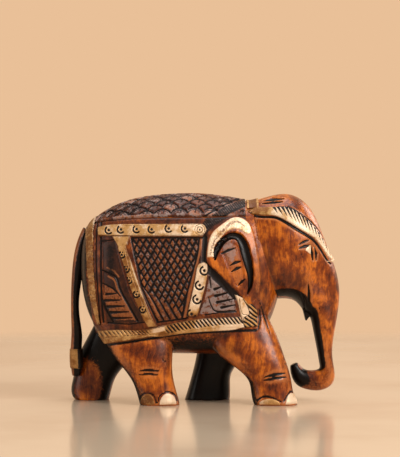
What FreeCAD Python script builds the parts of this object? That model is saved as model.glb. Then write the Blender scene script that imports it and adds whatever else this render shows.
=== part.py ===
"""A walking elephant carved from one block of wood, with a saddle cloth and gilded trim in relief.

+X runs to the trunk, +Y to the elephant's left and +Z up. The origin is on the table, under the
middle of the figure's bounding box. Points of the side outlines are in per cent of the block:
x from -50 at the tail to 50 at the trunk, z from 0 at the table to 100. All other sizes are in mm.

The wood is one piece on the real figure. Its forms are cut here into nodes that meet face to face,
along the lines where the carver changes from one form to the next.
"""
import FreeCAD
import Part
import math
import os

# The block that the figure is cut from
BLOCK_LENGTH = 130.0
BLOCK_HEIGHT = 100.0
BLOCK_WIDTH = 54.0

# Widths: the ears stand out beyond the torso, and head and feet are set in from its flanks
EAR_STAND_OUT = 2.8
HEAD_SET_IN = 4.7
FOOT_SET_IN = 2.6
TORSO_HALF_WIDTH = BLOCK_WIDTH / 2 - EAR_STAND_OUT
HEAD_HALF_WIDTH = TORSO_HALF_WIDTH - HEAD_SET_IN
TRUNK_HALF_WIDTH = 8.4
LIP_WIDTH = 7.0

# Heights of the relief over the wood below it
CLOTH_RAISE = 0.9
TRIM_RAISE = 0.8
HEAD_TRIM_RAISE = 0.7
EYE_RAISE = 0.5
NAIL_RAISE = 0.6
TAIL_BAND_RAISE = 0.4
EAR_RIM_RAISE = 0.5

# Band under the fold of the cloth: rear end, front end and level in per cent of the block
TOP_BAND_REAR = -38.5
TOP_BAND_FRONT = 0.8
TOP_BAND_LEVEL = 82.0
TOP_BAND_WIDTH = 5.8
STUD_COUNT = 7
STUD_RADIUS = 1.9
STUD_RAISE = 0.35
STUD_HOLE_RADIUS = 0.55
STUD_END_GAP = 3.2

# Ears: their outer faces lie on a dome that leans in to the head at the front and the top
EAR_DOME_MIDDLE = (-2.3, 58.0)
EAR_DOME_SPAN = (38.5, 48.0)
EAR_HOLLOW_DEPTH = 2.2
EAR_LOBE_DROP = 0.5

# Legs and feet
LEG_HALF_WIDTH = 8.4
LEG_SPREAD = TORSO_HALF_WIDTH - FOOT_SET_IN - LEG_HALF_WIDTH
NAIL_WIDTH = 6.4
NAIL_HEIGHT = 6.0
NAIL_TURNS = (4.0, 50.0, 100.0)

# Tail, with the levels of its gilded ring in per cent of the block
TAIL_HALF_WIDTH = 2.3
TAIL_TUFT_HALF_WIDTH = 3.0
TAIL_BAND_LEVELS = (15.6, 25.4)

# How far a cutting prism reaches beyond the figure
REACH = 45.0
RING_POINTS = 12

LEFT = 1
RIGHT = -1
V = FreeCAD.Vector


def side(point, across=0.0):
    """A point of the side outline, from per cent of the block to mm."""
    return V(point[0] * BLOCK_LENGTH / 100, across, point[1] * BLOCK_HEIGHT / 100)


def ring(outer, inner, half_width, across=0.0, widest=0.5, fullness=2.3, grow=0.0):
    """Points of a closed section between two points of the side outline, as full as a superellipse.

    widest is where the section is broadest, as a share of the way from inner to outer.
    """
    top, bottom = side(outer, across), side(inner, across)
    way = (top - bottom).normalize()
    top, bottom = top + way * grow, bottom - way * grow
    middle = bottom + (top - bottom) * widest
    points = []
    for step in range(RING_POINTS):
        turn = 2 * math.pi * step / RING_POINTS
        up = math.copysign(abs(math.cos(turn)) ** (2 / fullness), math.cos(turn))
        out = math.copysign(abs(math.sin(turn)) ** (2 / fullness), math.sin(turn))
        arm = (top - middle) if up > 0 else (middle - bottom)
        points.append(middle + arm * up + V(0, (half_width + grow) * out, 0))
    return points


def loft(rings):
    """A solid with one smooth skin through the rings and a flat face at each end."""
    around = [step / RING_POINTS for step in range(RING_POINTS + 1)]
    hoops = []
    for points in rings:
        hoop = Part.BSplineCurve()
        hoop.interpolate(Points=points, PeriodicFlag=True, Parameters=around)
        hoops.append(hoop)
    centres = [sum(points, V()) * (1 / RING_POINTS) for points in rings]
    along = [0.0]
    for before, after in zip(centres, centres[1:]):
        along.append(along[-1] + before.distanceToPoint(after))
    staves = []
    for poles in zip(*[hoop.getPoles() for hoop in hoops]):
        stave = Part.BSplineCurve()
        stave.interpolate(Points=list(poles), Parameters=along)
        staves.append(stave)
    skin = Part.BSplineSurface()
    skin.buildFromPolesMultsKnots(
        [stave.getPoles() for stave in staves],
        hoops[0].getMultiplicities(), staves[0].getMultiplicities(),
        hoops[0].getKnots(), staves[0].getKnots(),
        True, False, hoops[0].Degree, staves[0].Degree,
    )
    wall = skin.toShape()
    mouths = [edge for edge in wall.Edges if edge.isClosed()]
    ends = [Part.Face(Part.Wire([mouth])).reversed() for mouth in mouths]
    solid = Part.Solid(Part.Shell([wall] + ends))
    if solid.Volume < 0:
        solid.reverse()
    return solid


def prism(points, start, end):
    """The closed outline with straight sides through the points, carried across from start to end."""
    corners = [side(p, start) for p in points]
    face = Part.Face(Part.makePolygon(corners + corners[:1]))
    return face.extrude(V(0, end - start, 0))


def smooth_prism(points, start, end):
    """The closed outline curving through the points, carried across from start to end."""
    curve = Part.BSplineCurve()
    curve.interpolate(Points=[side(p, start) for p in points], PeriodicFlag=True)
    return Part.Face(Part.Wire(curve.toShape())).extrude(V(0, end - start, 0))


# ---- Torso: the barrel of the body, from the rump to the chest ----
# along, back, widest level, belly, share of the half width
TORSO = (
    (-45.9, 72.0, 66.0, 60.0, 0.16),
    (-44.8, 79.5, 62.0, 50.0, 0.44),
    (-41.5, 86.5, 58.0, 38.0, 0.67),
    (-35.4, 92.2, 56.0, 29.0, 0.84),
    (-26.2, 96.8, 55.0, 25.0, 0.95),
    (-13.8, 99.0, 54.0, 23.5, 1.0),
    (-1.5, 99.2, 54.0, 23.2, 1.0),
    (9.2, 97.6, 55.0, 24.5, 0.96),
    (18.5, 96.0, 60.0, 31.0, 0.80),
    (24.6, 92.0, 66.0, 42.0, 0.60),
    (27.0, 85.0, 68.0, 52.0, 0.38),
)
TORSO_FULLNESS = 2.35


def torso_form(grow=0.0):
    rings = []
    for along, back, widest, belly, share in TORSO:
        rings.append(ring(
            (along, back), (along, belly), TORSO_HALF_WIDTH * share,
            widest=(widest - belly) / (back - belly), fullness=TORSO_FULLNESS, grow=grow,
        ))
    return loft(rings)


# ---- Head and trunk: one run of rings, from the neck over the brow to the curled tip ----
# outer point, inner point, share of the head's half width
HEAD = (
    ((14.0, 95.8), (19.5, 47.0), 0.88),
    ((22.5, 98.4), (24.5, 48.8), 0.98),
    ((31.0, 99.6), (28.0, 49.6), 1.0),
    ((37.8, 94.1), (31.4, 49.2), 0.95),
    ((42.4, 83.0), (34.2, 47.0), 0.83),
    ((45.4, 73.0), (36.2, 43.8), 0.67),
    ((48.0, 63.5), (37.6, 42.2), 0.54),
)
# outer point, inner point, share of the trunk's half width
TRUNK = (
    ((49.4, 52.0), (38.5, 40.6), 0.99),
    ((48.7, 42.0), (39.2, 37.6), 0.80),
    ((47.6, 34.0), (40.0, 32.4), 0.68),
    ((46.8, 26.0), (41.1, 25.0), 0.60),
    ((47.2, 18.0), (42.0, 18.2), 0.56),
    ((47.2, 9.6), (41.8, 15.8), 0.54),
    ((43.6, 5.9), (40.0, 15.2), 0.53),
    ((38.1, 5.7), (37.8, 15.2), 0.52),
    ((33.6, 8.2), (36.0, 16.0), 0.50),
    ((31.6, 12.8), (34.8, 17.6), 0.44),
    ((31.2, 17.4), (33.6, 18.9), 0.34),
)


def head_form(grow=0.0):
    rings = [ring(o, i, HEAD_HALF_WIDTH * s, fullness=2.2, grow=grow) for o, i, s in HEAD]
    outer, inner, share = TRUNK[0]
    rings.append(ring(outer, inner, TRUNK_HALF_WIDTH * share, fullness=2.2, grow=grow))
    return loft(rings)


def trunk_form():
    return loft([ring(o, i, TRUNK_HALF_WIDTH * s, fullness=2.2) for o, i, s in TRUNK])


LIP = ((34.0, 50.0), (38.9, 46.0), (38.5, 41.5), (36.9, 38.6), (36.0, 43.5))


# ---- Legs: each from the sole up into the body, leaning in towards the hip ----
# spread and half width at each level, as shares of those at the sole
LEG_LEVELS = ((1.0, 1.0), (1.0, 0.93), (1.0, 0.93), (0.99, 0.97), (0.93, 0.94), (0.80, 0.85), (0.68, 0.6))
# front point and back point at each level
LEGS = {
    "foreleg_right": (
        ((33.3, 0.0), (17.5, 0.0)),
        ((31.7, 6.5), (16.5, 5.6)),
        ((30.8, 13.0), (15.4, 11.5)),
        ((29.0, 21.0), (8.6, 19.5)),
        ((26.6, 30.0), (2.0, 28.0)),
        ((22.5, 42.0), (2.0, 42.0)),
        ((17.0, 56.0), (4.0, 56.0)),
    ),
    "foreleg_left": (
        ((9.0, 0.0), (-7.8, 0.0)),
        ((9.2, 6.0), (-6.6, 5.0)),
        ((9.5, 12.0), (-5.2, 11.5)),
        ((13.0, 19.0), (-3.8, 19.0)),
        ((18.0, 28.0), (-2.8, 28.0)),
        ((20.0, 42.0), (-2.0, 42.0)),
        ((17.0, 56.0), (2.0, 56.0)),
    ),
    "hindleg_right": (
        ((-9.4, 0.0), (-24.0, 0.0)),
        ((-10.8, 6.5), (-25.2, 5.8)),
        ((-12.0, 13.5), (-27.2, 12.0)),
        ((-12.2, 21.0), (-31.2, 19.0)),
        ((-12.0, 30.0), (-36.0, 28.0)),
        ((-14.0, 42.0), (-39.4, 42.0)),
        ((-18.0, 56.0), (-37.0, 56.0)),
    ),
    "hindleg_left": (
        ((-36.3, 0.0), (-49.0, 0.0)),
        ((-35.3, 5.0), (-50.4, 3.6)),
        ((-33.6, 11.0), (-49.6, 11.0)),
        ((-28.5, 18.5), (-48.2, 19.5)),
        ((-20.0, 28.0), (-45.6, 27.0)),
        ((-16.0, 42.0), (-39.8, 42.0)),
        ((-19.0, 56.0), (-37.0, 56.0)),
    ),
}


def leg_form(name, grow=0.0):
    hand = LEFT if name.endswith("left") else RIGHT
    rings = []
    for (front, back), (spread, width) in zip(LEGS[name], LEG_LEVELS):
        rings.append(ring(
            front, back, LEG_HALF_WIDTH * width, across=hand * LEG_SPREAD * spread, fullness=2.4, grow=grow,
        ))
    return loft(rings)


def body_form(grow=0.0):
    """The torso with all four legs, which the cloth and its trim are draped over."""
    body = torso_form(grow)
    for name in LEGS:
        body = body.fuse(leg_form(name, grow))
    return body


def toenails(name):
    """Rounded nails round the front and the outer side of a foot, proud of its surface."""
    hand = LEFT if name.endswith("left") else RIGHT
    front, back = LEGS[name][0]
    middle = (side(front) + side(back)) * 0.5
    foot, grown = leg_form(name), leg_form(name, NAIL_RAISE)
    above_sole = Part.makeBox(4 * REACH, 4 * REACH, REACH, V(-2 * REACH, -2 * REACH, 0))
    nails = []
    for turn in NAIL_TURNS:
        arch = Part.makeCylinder(NAIL_WIDTH / 2, REACH, V(0, 0, NAIL_HEIGHT - NAIL_WIDTH / 2), V(1, 0, 0))
        base = Part.makeBox(REACH, NAIL_WIDTH, NAIL_HEIGHT - NAIL_WIDTH / 2, V(0, -NAIL_WIDTH / 2, 0))
        cutter = arch.fuse(base)
        cutter.rotate(V(0, 0, 0), V(0, 0, 1), hand * turn)
        cutter.translate(V(middle.x, hand * LEG_SPREAD, 0))
        nails.append(grown.common(cutter).common(above_sole).cut(foot))
    return Part.makeCompound(nails)


# ---- Tail: it hangs clear of the rump and is joined to the left hock at its tip ----
# outer point, inner point, across, share of the width
TAIL = (
    ((-45.2, 84.0), (-41.4, 80.0), 0.0, 1.15),
    ((-48.2, 74.0), (-43.6, 72.0), 0.0, 1.1),
    ((-49.5, 62.0), (-45.4, 61.5), 0.2, 1.0),
    ((-49.9, 50.0), (-46.8, 49.5), 0.8, 0.95),
    ((-49.9, 40.0), (-46.6, 40.0), 1.8, 0.95),
    ((-49.9, 31.0), (-45.8, 31.0), 3.0, 1.0),
)
TUFT = (
    ((-50.2, 25.5), (-46.0, 25.5), 3.6, 1.0),
    ((-50.2, 18.0), (-45.8, 18.0), 4.2, 1.0),
    ((-49.6, 12.0), (-46.8, 12.0), 4.6, 0.6),
)


def tail_form(grow=0.0):
    rings = [ring(o, i, TAIL_HALF_WIDTH * s, across=a, fullness=2.0, grow=grow) for o, i, a, s in TAIL]
    rings += [ring(o, i, TAIL_TUFT_HALF_WIDTH * s, across=a, fullness=2.2, grow=grow) for o, i, a, s in TUFT]
    return loft(rings)


# ---- Saddle cloth: a layer over the back and both flanks ----
CLOTH_FOLD_HEIGHT = 88.0
CLOTH_REAR = ((-43.8, CLOTH_FOLD_HEIGHT), (-43.0, 64.0), (-41.9, 50.0), (-38.8, 35.0), (-35.0, 29.2))
CLOTH_HEM = ((-17.9, 32.4), (-6.0, 34.7), (18.8, 36.4))
CLOTH_FRONT = ((18.4, 45.8), (15.0, 60.0), (14.5, CLOTH_FOLD_HEIGHT))
OVER_THE_BACK = 110.0
BACK_COVER = (
    (-43.8, CLOTH_FOLD_HEIGHT), (-44.0, OVER_THE_BACK), (14.5, OVER_THE_BACK), (14.5, CLOTH_FOLD_HEIGHT),
)
# Trim outlines on the right flank
REAR_BORDER = (
    (-47.0, 88.0), (-44.2, 82.0), (-43.2, 64.0), (-42.1, 50.0), (-39.6, 37.6),
    (-38.4, 38.0), (-39.6, 50.0), (-40.6, 64.0), (-41.0, 82.0), (-40.0, 92.0), (-44.0, 94.0),
)
REAR_STRAP = (
    (-33.4, 79.1), (-31.4, 72.4), (-29.3, 64.0), (-27.2, 54.6), (-23.5, 43.0), (-21.2, 37.4),
    (-17.6, 37.8), (-19.8, 43.0), (-23.4, 55.4), (-25.6, 64.0), (-28.2, 73.0), (-27.2, 79.1),
)
FRONT_STRAP = (
    (-0.6, 67.6), (-3.2, 66.0), (-4.0, 58.4), (-5.8, 49.0), (-7.0, 42.0),
    (-2.8, 42.2), (-1.4, 49.6), (0.4, 59.0), (0.8, 65.6),
)
HEM_BAND = (
    (-39.0, 36.4), (-35.0, 29.4), (-17.9, 32.6), (-6.0, 34.9), (16.0, 36.4),
    (12.2, 42.2), (-3.2, 41.2), (-11.2, 39.4), (-20.0, 36.8), (-26.0, 36.0),
)
HEM_CORNER = ((12.2, 42.6), (16.2, 36.5), (18.7, 36.8), (18.1, 45.2), (14.1, 49.5), (10.4, 52.1))
HEADBAND = (
    (14.0, 92.6), (17.8, 93.0), (28.4, 93.6), (31.1, 93.0), (35.1, 89.2), (39.1, 84.4), (42.2, 79.5),
    (44.4, 74.3), (49.0, 68.0), (49.4, 64.0), (47.0, 66.0), (44.4, 69.5), (42.0, 74.7), (39.1, 78.8),
    (33.7, 83.0), (28.9, 86.7), (25.1, 89.2), (15.6, 90.0),
)
NECK_BAND = ((14.9, 92.7), (14.9, 99.5), (19.3, 99.5), (19.3, 93.2))
EYE = ((36.0, 76.2), (38.3, 76.0), (38.4, 70.8), (37.2, 72.0))

# ---- Ears ----
EAR = (
    (0.1, 70.6), (1.4, 79.0), (5.6, 85.4), (11.2, 88.8), (15.6, 87.8), (17.7, 83.0), (19.4, 70.0),
    (20.0, 58.0), (19.4, 52.6), (15.9, 47.0), (12.0, 51.6), (5.6, 62.0),
)
EAR_TROUGH = (
    (3.4, 70.6), (5.2, 77.4), (9.8, 82.4), (14.2, 80.8), (16.4, 72.0), (17.0, 62.0), (15.2, 52.6),
    (14.6, 58.0), (14.2, 66.0), (12.2, 76.4), (9.6, 78.0), (6.4, 73.0), (4.4, 68.0),
)
EAR_RIM = (
    (0.2, 70.4), (1.4, 79.0), (5.6, 85.3), (11.2, 88.6), (15.6, 87.6), (17.5, 82.6), (15.6, 81.2),
    (12.6, 83.6), (9.6, 83.8), (5.2, 79.6), (3.0, 74.6), (2.8, 70.2),
)
EAR_LOBE = (
    (5.2, 67.4), (6.6, 72.6), (9.6, 77.4), (11.8, 75.4), (13.8, 66.0), (14.4, 57.0), (14.8, 51.6),
    (12.2, 53.2), (8.0, 60.6),
)


def ear_dome(raise_by=0.0):
    """The dome that the outer faces of both ears lie on."""
    span = side(EAR_DOME_SPAN)
    stretch = FreeCAD.Matrix()
    stretch.scale(V(span.x + raise_by, BLOCK_WIDTH / 2 - EAR_RIM_RAISE + raise_by, span.z + raise_by))
    dome = Part.makeSphere(1.0).transformGeometry(stretch)
    dome.translate(side(EAR_DOME_MIDDLE))
    return dome


def studs(hand, band, proud):
    """Ringed studs along a top band: low discs with a pricked centre, seated on the band."""
    first = side((TOP_BAND_REAR, TOP_BAND_LEVEL)) + V(STUD_END_GAP, 0, 0)
    last = side((TOP_BAND_FRONT, TOP_BAND_LEVEL)) - V(STUD_END_GAP, 0, 0)
    outwards = V(0, hand, 0)
    found = []
    for number in range(STUD_COUNT):
        centre = first + (last - first) * (number / (STUD_COUNT - 1))
        disc = Part.makeCylinder(STUD_RADIUS, REACH, centre, outwards)
        prick = Part.makeCylinder(STUD_HOLE_RADIUS, REACH, centre, outwards)
        found.append(proud.common(disc.cut(prick)).cut(band))
    return Part.makeCompound(found)


def top_band_blank(hand):
    """A bar across one flank, square at the rear and round at the front."""
    half = TOP_BAND_WIDTH / 2
    rear = side((TOP_BAND_REAR, TOP_BAND_LEVEL))
    front = side((TOP_BAND_FRONT, TOP_BAND_LEVEL)) - V(half, 0, 0)
    corner = V(rear.x, min(0, hand * REACH), rear.z - half)
    bar = Part.makeBox(front.x - rear.x, REACH, 2 * half, corner)
    return bar.fuse(Part.makeCylinder(half, REACH, front, V(0, hand, 0)))


def without(shape, *lower):
    """What is left of a layer once everything that it lies on is taken away."""
    for one in lower:
        shape = shape.cut(one)
    return shape


def build():
    """Every node of the figure, by name."""
    torso = torso_form()
    head = head_form()
    trunk = trunk_form()
    body = body_form()
    cloth_skin = body_form(CLOTH_RAISE)
    trim_skin = body_form(CLOTH_RAISE + TRIM_RAISE)
    head_skin = head_form(HEAD_TRIM_RAISE).fuse(torso_form(HEAD_TRIM_RAISE))
    torso_trim_skin = torso_form(CLOTH_RAISE + TRIM_RAISE)
    stud_skin = torso_form(CLOTH_RAISE + TRIM_RAISE + STUD_RAISE)

    nodes = {"torso": torso, "head": head.cut(torso), "trunk": trunk}
    nodes["lower_lip"] = without(prism(LIP, -LIP_WIDTH / 2, LIP_WIDTH / 2), head, trunk)
    for name in LEGS:
        nodes[name] = leg_form(name).cut(torso)
        nodes["toenails_" + name] = toenails(name)

    # The cloth over the back and on each flank, then the trim that runs over the middle
    back_cover = without(cloth_skin.common(prism(BACK_COVER, -REACH, REACH)), body, head)
    flank_outline = CLOTH_REAR + CLOTH_HEM + CLOTH_FRONT
    side_cloth = {}
    for hand in (LEFT, RIGHT):
        side_cloth[hand] = without(cloth_skin.common(prism(flank_outline, 0, hand * REACH)), body)
    cloth = (back_cover, *side_cloth.values())
    border = without(trim_skin.common(prism(REAR_BORDER, -REACH, REACH)), body, *cloth)
    headband = without(head_skin.common(prism(HEADBAND, -REACH, REACH)), head, torso, *cloth)
    neck_band = without(head_skin.common(prism(NECK_BAND, -REACH, REACH)), head, torso, back_cover, headband)
    nodes.update(back_cover=back_cover, rear_border=border, headband=headband, neck_band=neck_band)

    for hand, ending in ((LEFT, "_left"), (RIGHT, "_right")):
        lower = (body, side_cloth[hand])
        flank = {
            "side_cloth": side_cloth[hand],
            "top_band": without(torso_trim_skin.common(top_band_blank(hand)), *lower),
            "rear_strap": without(trim_skin.common(prism(REAR_STRAP, 0, hand * REACH)), *lower),
            "front_strap": without(trim_skin.common(prism(FRONT_STRAP, 0, hand * REACH)), *lower),
            "hem_band": without(trim_skin.common(prism(HEM_BAND, 0, hand * REACH)), *lower, border),
            "hem_corner": without(trim_skin.common(prism(HEM_CORNER, 0, hand * REACH)), *lower),
        }
        # The ear is seated on all that lies under it
        ear = smooth_prism(EAR, 0, hand * REACH).common(ear_dome())
        ear = without(ear, body, head, back_cover, headband, *flank.values())
        trough = smooth_prism(EAR_TROUGH, 0, hand * REACH).cut(ear_dome(-EAR_HOLLOW_DEPTH))
        lobe = smooth_prism(EAR_LOBE, 0, hand * REACH).cut(ear_dome(-EAR_LOBE_DROP))
        rim = smooth_prism(EAR_RIM, 0, hand * REACH).common(ear_dome(EAR_RIM_RAISE))
        flank["ear"] = without(ear, trough, lobe)
        flank["ear_rim"] = rim.cut(ear_dome())
        flank["studs"] = studs(hand, torso_trim_skin, stud_skin)
        flank["eye"] = without(head_form(EYE_RAISE).common(prism(EYE, 0, hand * REACH)), head)
        for name, shape in flank.items():
            nodes[name + ending] = shape

    under_tail = (body, border, *cloth)
    nodes["tail"] = without(tail_form(), *under_tail)
    low, high = TAIL_BAND_LEVELS
    slice_ = prism(((-60.0, low), (-40.0, low), (-40.0, high), (-60.0, high)), -REACH, REACH)
    nodes["tail_band"] = without(tail_form(TAIL_BAND_RAISE).common(slice_), nodes["tail"], *under_tail)
    return nodes


def solids_of(shape):
    found = [s for s in shape.Solids if s.Volume > 0.05]
    return found[0] if len(found) == 1 else Part.makeCompound(found)


def main():
    nodes = {name: solids_of(shape) for name, shape in build().items()}
    box = Part.makeCompound(list(nodes.values())).optimalBoundingBox(False, False)
    home = V(-(box.XMin + box.XMax) / 2, -(box.YMin + box.YMax) / 2, -box.ZMin)
    os.makedirs("parts", exist_ok=True)
    for name, shape in nodes.items():
        placed = shape.copy()
        placed.translate(home)
        placed.exportStep(os.path.join("parts", name + ".step"))
        print(f"{name}: {len(placed.Solids)} solids, {placed.Volume:.1f} mm3, valid {placed.isValid()}")
    print("block", box.XLength, box.YLength, box.ZLength, "home", home)


main()
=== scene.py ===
"""A small elephant carved from one block of wood, stained and varnished, with gilded trim."""

import bmesh
import bpy
import numpy as np
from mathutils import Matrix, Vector


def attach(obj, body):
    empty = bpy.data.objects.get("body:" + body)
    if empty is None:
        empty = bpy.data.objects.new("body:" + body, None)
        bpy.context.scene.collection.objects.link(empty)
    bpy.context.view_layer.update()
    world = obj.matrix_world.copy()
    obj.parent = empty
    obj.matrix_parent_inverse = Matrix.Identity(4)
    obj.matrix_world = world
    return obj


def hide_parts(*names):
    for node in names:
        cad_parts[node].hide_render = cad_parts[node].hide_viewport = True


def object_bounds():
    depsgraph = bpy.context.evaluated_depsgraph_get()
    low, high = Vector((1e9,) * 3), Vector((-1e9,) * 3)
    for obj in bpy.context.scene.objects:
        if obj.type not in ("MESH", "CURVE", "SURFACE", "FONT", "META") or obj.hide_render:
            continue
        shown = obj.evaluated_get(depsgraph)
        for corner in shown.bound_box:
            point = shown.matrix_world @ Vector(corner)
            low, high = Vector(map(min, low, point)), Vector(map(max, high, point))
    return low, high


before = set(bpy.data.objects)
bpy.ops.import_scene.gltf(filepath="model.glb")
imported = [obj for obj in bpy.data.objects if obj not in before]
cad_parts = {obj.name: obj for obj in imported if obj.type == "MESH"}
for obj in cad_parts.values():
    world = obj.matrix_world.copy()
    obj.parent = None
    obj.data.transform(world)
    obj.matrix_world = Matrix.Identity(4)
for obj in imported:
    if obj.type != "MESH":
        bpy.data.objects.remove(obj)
cad_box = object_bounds()

# ---------------------------------------------------------------------------------------
# The table, the light and the camera: a pale tabletop that fades out at its edge, one large
# soft lamp from the front right, a soft one overhead and weak ones from the left and from
# behind. The tabletop is a flat disc worked out from rings, so it looks the same all round.
LOW, HIGH = (np.array(corner) * 1000 for corner in cad_box)
LONG, TALL = HIGH[0] - LOW[0], HIGH[2] - LOW[2]


def paint(red, green, blue):
    """A colour from its eight-bit values: each is raised as c = ((v + 0.055) / 1.055) ^ 2.4."""
    value = np.array([red, green, blue]) / 255
    linear = np.where(value <= 0.04045, value / 12.92, ((value + 0.055) / 1.055) ** 2.4)
    return (*linear.tolist(), 1.0)


def wire(tree, value, socket):
    """Joins an output to a socket, or sets the socket to a plain value."""
    if isinstance(value, bpy.types.NodeSocket):
        tree.links.new(value, socket)
    else:
        socket.default_value = value


def put(tree, kind, settings=None, **values):
    """Adds a node, with its settings and with values or links for its sockets by name or number."""
    made = tree.nodes.new("ShaderNode" + kind)
    for key, value in (settings or {}).items():
        setattr(made, key, value)
    for key, value in values.items():
        wire(tree, value, made.inputs[int(key[1:]) if key[1:].isdigit() else key.replace("_", " ")])
    return made


def maths(tree, operation, *values):
    """One sum on values or links."""
    made = tree.nodes.new("ShaderNodeMath")
    made.operation = operation
    for value, socket in zip(values, made.inputs):
        wire(tree, value, socket)
    return made.outputs[0]


def blend(tree, share, first, second):
    """A colour between two colours or links."""
    made = tree.nodes.new("ShaderNodeMix")
    made.data_type = "RGBA"
    wire(tree, share, made.inputs[0])
    wire(tree, first, made.inputs[6])
    wire(tree, second, made.inputs[7])
    return made.outputs[2]


def ramp(tree, share, low, high):
    """How far a value has gone from low to high, from 0 to 1, smoothly."""
    smooth = {"interpolation_type": "SMOOTHSTEP"}
    return put(tree, "MapRange", smooth, Value=share, From_Min=low, From_Max=high).outputs[0]


def finish_of(name):
    """A new material with its default nodes, of which the surface shader is handed back."""
    material = bpy.data.materials.new(name)
    material.use_nodes = True
    tree = material.node_tree
    return material, tree, tree.nodes["Principled BSDF"]


def add(name, data):
    """Puts a mesh, a lamp or a camera into the scene."""
    made = bpy.data.objects.new(name, data)
    bpy.context.scene.collection.objects.link(made)
    return made


def build_mesh(name, points, faces):
    """A mesh object at the origin from points in millimetres."""
    mesh = bpy.data.meshes.new(name)
    mesh.from_pydata((np.asarray(points) / 1000).tolist(), [], faces)
    mesh.update()
    return add(name, mesh)


def tabletop():
    """Rings of points at radius r and angle a, x = r cos a and y = r sin a, closed at the middle."""
    radius, ring = np.array([60, 150, 300, 450, 560, 640]), np.arange(96)
    angle = ring * 2 * np.pi / len(ring)
    x, y = np.outer(radius, np.cos(angle)), np.outer(radius, np.sin(angle))
    points = np.column_stack([x.ravel(), y.ravel(), np.full(x.size, LOW[2])])
    rows = np.arange(len(radius))[:, None] * len(ring)
    first, after = rows + ring, rows + (ring + 1) % len(ring)
    quads = np.stack([first[:-1], first[1:], after[1:], after[:-1]], axis=-1)
    return build_mesh("tabletop", points, [ring.tolist(), *quads.reshape(-1, 4).tolist()])


table = tabletop()
BACKDROP = paint(233, 192, 152)
stone, tree, shader = finish_of("pale_tabletop")
where = put(tree, "TexCoord").outputs["Object"]
veins = put(tree, "TexNoise", Vector=where, Scale=9.0, Detail=4.0).outputs["Fac"]
table_colour = blend(tree, ramp(tree, veins, 0.4, 0.65), paint(214, 191, 164), paint(201, 176, 149))
wire(tree, table_colour, shader.inputs["Base Color"])
shader.inputs["Roughness"].default_value = 0.14
far = put(tree, "VectorMath", {"operation": "LENGTH"}, _0=where).outputs["Value"]
edge = put(tree, "MixShader", _0=ramp(tree, far, 0.47, 0.62), _1=shader.outputs[0],
           _2=put(tree, "BsdfTransparent").outputs[0])
wire(tree, edge.outputs[0], tree.nodes["Material Output"].inputs["Surface"])
table.data.materials.append(stone)

world = bpy.data.worlds.new("studio")
bpy.context.scene.world = world
world.use_nodes = True
sky = world.node_tree
ray = put(sky, "LightPath")
heading = put(sky, "SeparateXYZ", Vector=put(sky, "TexCoord").outputs["Generated"]).outputs["Y"]
mirrored = maths(sky, "MULTIPLY", ray.outputs["Is Glossy Ray"], ramp(sky, heading, 0.3, 0.8))
seen = maths(sky, "MAXIMUM", maths(sky, "MAXIMUM", ray.outputs["Is Camera Ray"], mirrored),
             ray.outputs["Is Transmission Ray"])
wire(sky, blend(sky, seen, (0.27, 0.245, 0.215, 1), BACKDROP), sky.nodes["Background"].inputs["Color"])
sky.nodes["Background"].inputs["Strength"].default_value = 1.0


def lamp(name, place, aim, size, power, tint):
    """A square soft lamp in metres, turned so that its face looks at the aim."""
    light = bpy.data.lights.new(name, "AREA")
    light.size, light.energy, light.color = size, power, tint
    made = add(name, light)
    made.location = place
    made.rotation_euler = (Vector(aim) - Vector(place)).to_track_quat("-Z", "Y").to_euler()


lamp("key", (0.60, -0.60, 0.55), (0.0, 0.0, 0.05), 0.45, 8.0, (1.0, 0.96, 0.91))
lamp("overhead", (0.05, 0.05, 0.90), (0.0, 0.0, 0.05), 0.60, 4.0, (0.97, 0.97, 1.0))
lamp("side_fill", (-0.85, -0.45, 0.30), (0.0, 0.0, 0.05), 0.50, 2.0, (1.0, 0.94, 0.88))
lamp("behind_right", (0.60, 0.50, 0.40), (0.0, 0.0, 0.06), 0.40, 2.0, (1.0, 0.96, 0.93))

lens = bpy.data.cameras.new("camera")
lens.lens, lens.sensor_width, lens.clip_start = 139.3, 36.0, 0.01
camera = add("camera", lens)
camera.location = (-0.00198, -0.850, 0.0832)
camera.rotation_euler = (np.pi / 2, 0.0, 0.0)
bpy.context.scene.camera = camera
bpy.context.scene.view_settings.view_transform = "Standard"

# ---------------------------------------------------------------------------------------
# The figure: head, trunk, body, legs and tail, cut from one block of close-grained wood,
# stained red-brown, blackened in its cuts, inside the trunk and at its tip, and varnished.
# Shade is painted into its colour as well: darker in hollows and creases and under the hem, black
# under the jaw, the belly and the ears, between the legs, on faces turned to the rear and over
# most of the tail. Each part is the carver's form run together with its neighbours, softened,
# and then cut with small gouges.
RIGHT, LEFT = -1, 1


def along(share):
    """How far along so many per cent of the figure's length from its middle are, in millimetres."""
    return (LOW[0] + HIGH[0]) / 2 + share * LONG / 100


def up(share):
    """How high so many per cent of the figure's height above its soles are, in millimetres."""
    return LOW[2] + share * TALL / 100


def at(points):
    """Places in millimetres from points in per cent, along and up."""
    p = np.array(points)
    return np.stack([along(p[..., 0]), up(p[..., 1])], axis=-1)


def fade(value, low, high):
    """0 below low, 1 above high, and t^2 (3 - 2t) between them."""
    t = np.clip((value - low) / (high - low), 0, 1)
    return t * t * (3 - 2 * t)


def most(*masks):
    """The largest of several masks at each place."""
    return np.maximum.reduce(masks)


def near(distance, far, full):
    """1 nearer than full, 0 beyond far, and smooth between them."""
    return fade(-distance, -far, -full)


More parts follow.
